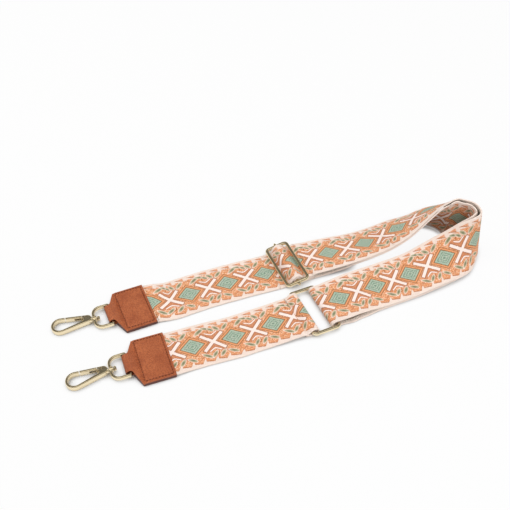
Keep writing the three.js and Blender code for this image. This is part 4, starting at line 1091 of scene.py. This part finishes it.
roughness = LEATHER_ROUGHNESS + (cloud - 0.5) * CLOUD_ROUGHNESS - paint * PAINT_GLOSS
graph.feed(shader.inputs["Base Color"], tan)
graph.feed(shader.inputs["Roughness"], roughness)
bump = graph.node("Bump", Strength=0.8, Distance=GRAIN_DEPTH, Height=1 - grain + cloud * CLOUD_DEPTH)
graph.feed(shader.inputs["Normal"], bump.outputs[0])


def softened(name, node):
    """A copy of a CAD node's mesh with its edges and channels rounded."""
    made = bpy.data.objects.new(name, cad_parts[node].data.copy())
    made.data.materials.clear()
    bpy.context.collection.objects.link(made)
    remesh = made.modifiers.new("fine", "REMESH")
    remesh.mode, remesh.voxel_size, remesh.use_smooth_shade = "VOXEL", LEATHER_VOXEL, True
    smooth = made.modifiers.new("rounded", "SMOOTH")
    smooth.factor, smooth.iterations = 0.5, LEATHER_SMOOTHING
    evaluated = made.evaluated_get(bpy.context.evaluated_depsgraph_get())
    final = bpy.data.meshes.new_from_object(evaluated)
    made.modifiers.clear()
    made.data = final
    return made


print("leather material:", len(leather_material.node_tree.nodes), "nodes")

# %% [markdown]
# ## Stitches
# The tabs are sewn with a dark waxed thread and the hem with a cream one. A single band in the channel
# would look like piping, so each stitch is a short thread of its own that dips into its holes. Both
# threads are twisted from two plies, whose twist is painted as fine slanting bands of light and shade.

# %% Thread
PLY_SCALE = 900.0
ply_tree, graph, enter, leave = new_group(
    "twisted_ply", {"Place": ("Vector", None), "Scale": ("Float", PLY_SCALE)}, {"Twist Shade": "Float"}
)
sockets = enter.outputs
bands = graph.node("TexWave", Vector=sockets["Place"], Scale=sockets["Scale"], Distortion=1.0)
bands.bands_direction = "DIAGONAL"
graph.feed(leave.inputs["Twist Shade"], bands.outputs[1])


def thread_material(name, dark, light, roughness):
    made, graph, shader = new_material(name)
    ply = use_group(graph, ply_tree, Place=object_place(graph), Scale=PLY_SCALE)
    # The dark and the light tone are painted shade and painted light of the twist, on a thread of one colour.
    graph.feed(shader.inputs["Base Color"], graph.colour(ply.outputs["Twist Shade"], dark, light))
    shader.inputs["Roughness"].default_value = roughness
    return made


waxed_thread = thread_material("waxed_thread", srgb(106, 50, 28), srgb(136, 70, 42), 0.6)
cream_thread = thread_material("cream_thread", srgb(206, 160, 124), srgb(232, 190, 156), 0.7)
print("threads:", waxed_thread.name, "and", cream_thread.name)

# %% Stitches from point to point
# Each ring of a stitch is its place along it, its girth and its height in thread radii
STITCH, STITCH_PITCH, STITCH_RADIUS, SPOKES = 1.9, 3.0, 0.36, 8
STITCH_RINGS = [
    (-0.5, 0.35, -0.8), (-0.42, 0.8, -0.25), (-0.2, 1.0, 0.1), (0.2, 1.0, 0.1), (0.42, 0.8, -0.25),
    (0.5, 0.35, -0.8),
]


def stitch_run(first, last):
    """Stitches from one point to another in mm: (middle, direction) of each."""
    length = np.linalg.norm(last - first)
    count = max(1, round(length / STITCH_PITCH))
    return [(first + (last - first) * (k + 0.5) / count, (last - first) / length) for k in range(count)]


def stitches(name, runs, material):
    """Each stitch is a short thread that dips into its holes at both ends."""
    verts, faces = [], []
    turn = np.radians(np.arange(SPOKES) * 360 / SPOKES)[:, None]
    for middle, ahead in runs:
        start = len(verts)
        spokes = np.cos(turn) * np.cross(UP, ahead) + np.sin(turn) * UP
        for place, girth, height in STITCH_RINGS:
            centre = middle + ahead * place * STITCH + UP * height * STITCH_RADIUS
            verts += list(centre + spokes * girth * STITCH_RADIUS)
        last = len(verts) - SPOKES
        for ring in range(start, last, SPOKES):
            for k in range(SPOKES):
                a, b = ring + k, ring + (k + 1) % SPOKES
                faces.append((a, b, b + SPOKES, a + SPOKES))
        faces += [tuple(start + k for k in reversed(range(SPOKES))), tuple(last + k for k in range(SPOKES))]
    mesh = bpy.data.meshes.new(name)
    mesh.from_pydata((np.array(verts) * MM).tolist(), [], faces)
    mesh.polygons.foreach_set("use_smooth", [True] * len(mesh.polygons))
    mesh.materials.append(material)
    made = bpy.data.objects.new(name, mesh)
    bpy.context.collection.objects.link(made)
    return made


print("a stitch has", len(STITCH_RINGS), "rings of", SPOKES, "points")


# %% Where a CAD thread lies
def thread_box(node, heading):
    """A CAD thread's middle, its two level directions, and how far it reaches each way along both, in mm."""
    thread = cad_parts[node]
    points = np.array([thread.matrix_world @ v.co for v in thread.data.vertices]) / MM
    middle = points.mean(axis=0)
    along = np.array([math.cos(heading), math.sin(heading), 0.0])
    across = np.array([-math.sin(heading), math.cos(heading), 0.0])
    a, b = (points - middle) @ along, (points - middle) @ across
    return middle, along, across, (a.min(), a.max()), (b.min(), b.max())


print("hem thread's middle in mm:", thread_box("ring_fold_thread", RING_HEADING)[0].round(1))

# %% The two tabs
SEAM_INSET = 0.25
for letter, body, heading in (("a", "upper_strap", TAB_A[2]), ("b", "lower_strap", TAB_B[2])):
    tab = softened("leather_" + letter, "leather_tab_" + letter)
    normals = np.zeros(len(tab.data.vertices) * 3, np.float32)
    tab.data.vertices.foreach_get("normal", normals)
    upright = (1 - np.abs(normals.reshape(-1, 3)[:, 2])).astype(np.float32)
    tab.data.attributes.new("edge_paint", "FLOAT", "POINT").data.foreach_set("value", upright)
    tab.data.materials.append(leather_material)
    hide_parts("leather_tab_" + letter)
    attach(tab, body)
    middle, along, across, (a0, a1), (b0, b1) = thread_box("tab_thread_" + letter, heading)
    a0, a1, b0, b1 = a0 + SEAM_INSET, a1 - SEAM_INSET, b0 + SEAM_INSET, b1 - SEAM_INSET
    corner = [middle + along * a + across * b for a, b in ((a0, b0), (a1, b0), (a1, b1), (a0, b1))]
    runs = sum((stitch_run(corner[k - 1], corner[k]) for k in (1, 2, 3, 0)), [])
    seam = stitches("stitches_" + letter, runs, waxed_thread)
    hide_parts("tab_thread_" + letter)
    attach(seam, body)
    print("leather", letter, len(tab.data.polygons), "faces,", len(runs), "stitches")

# %% The hem at the ring
HEM_SINK = 0.2
middle, along, across, _, (b0, b1) = thread_box("ring_fold_thread", RING_HEADING)
hem_low = middle - UP * HEM_SINK
runs = stitch_run(hem_low + across * b0, hem_low + across * b1)
hem_seam = stitches("stitches_hem", runs, cream_thread)
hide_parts("ring_fold_thread")
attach(hem_seam, "lower_strap")
print("hem:", len(runs), "stitches")

# %% [markdown]
# ## Metal
# The hooks, D-rings, buckle and ring are cast or bent metal with a pale gold plating. The CAD solids are
# cut with hard edges, so a small bevel rounds them as tumbling does, and weighted normals keep flat faces
# flat. A remesh would round them too, but on thin wire its uneven faces would show in the gloss.

# %% Smudges on metal
PLATED_SCALE, SPRING_SCALE = 90.0, 300.0
smudge_tree, graph, enter, leave = new_group(
    "smudges", {"Place": ("Vector", None), "Scale": ("Float", PLATED_SCALE)}, {"Smudge": "Float"}
)
graph.feed(leave.inputs["Smudge"], graph.noise(enter.outputs["Place"], enter.outputs["Scale"], 3.0))


def metal(name, scale, dark, light):
    """A metal that smudges make darker and lighter: its material, graph, shader and smudges."""
    made, graph, shader = new_material(name)
    smudged = use_group(graph, smudge_tree, Place=object_place(graph), Scale=scale)
    smudge = Wire(graph, smudged.outputs["Smudge"])
    graph.feed(shader.inputs["Base Color"], graph.colour(smudge, dark, light))
    shader.inputs["Metallic"].default_value = 1
    return made, graph, shader, smudge


GOLD_ROUGHNESS, SMUDGE_ROUGHNESS = 0.2, 0.06
gold, graph, shader, smudge = metal("pale_gold", PLATED_SCALE, srgb(240, 220, 178), srgb(252, 238, 206))
graph.feed(shader.inputs["Roughness"], GOLD_ROUGHNESS + smudge * SMUDGE_ROUGHNESS)
steel, graph, shader, smudge = metal("spring_steel", SPRING_SCALE, srgb(150, 150, 150), srgb(190, 190, 190))
shader.inputs["Roughness"].default_value = 0.3
print("metals:", gold.name, "and", steel.name)

# %% Round and plate the metal parts
METAL_NAMES = ("swivel", "hook", "gate", "slider", "rectangular")
JOIN_GAP, TUMBLED_WIDTH, SHARP_CORNER = 0.002 * MM, 0.2 * MM, math.radians(50)
metal_nodes = {name: node for name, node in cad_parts.items() if name.startswith(METAL_NAMES)}
for name, node in metal_nodes.items():
    is_spring = "spring" in name
    node.data.materials.clear()
    node.data.materials.append(steel if is_spring else gold)
    node.modifiers.new("joined", "WELD").merge_threshold = JOIN_GAP
    node.data.shade_smooth()
    if not is_spring:
        tumbled = node.modifiers.new("tumbled", "BEVEL")
        tumbled.width, tumbled.segments = TUMBLED_WIDTH, 2
        tumbled.limit_method, tumbled.angle_limit = "ANGLE", SHARP_CORNER
        flat = node.modifiers.new("flat_faces", "WEIGHTED_NORMAL")
        flat.mode, flat.weight = "FACE_AREA", 80
print("metal dressed:", len(metal_nodes), "parts")
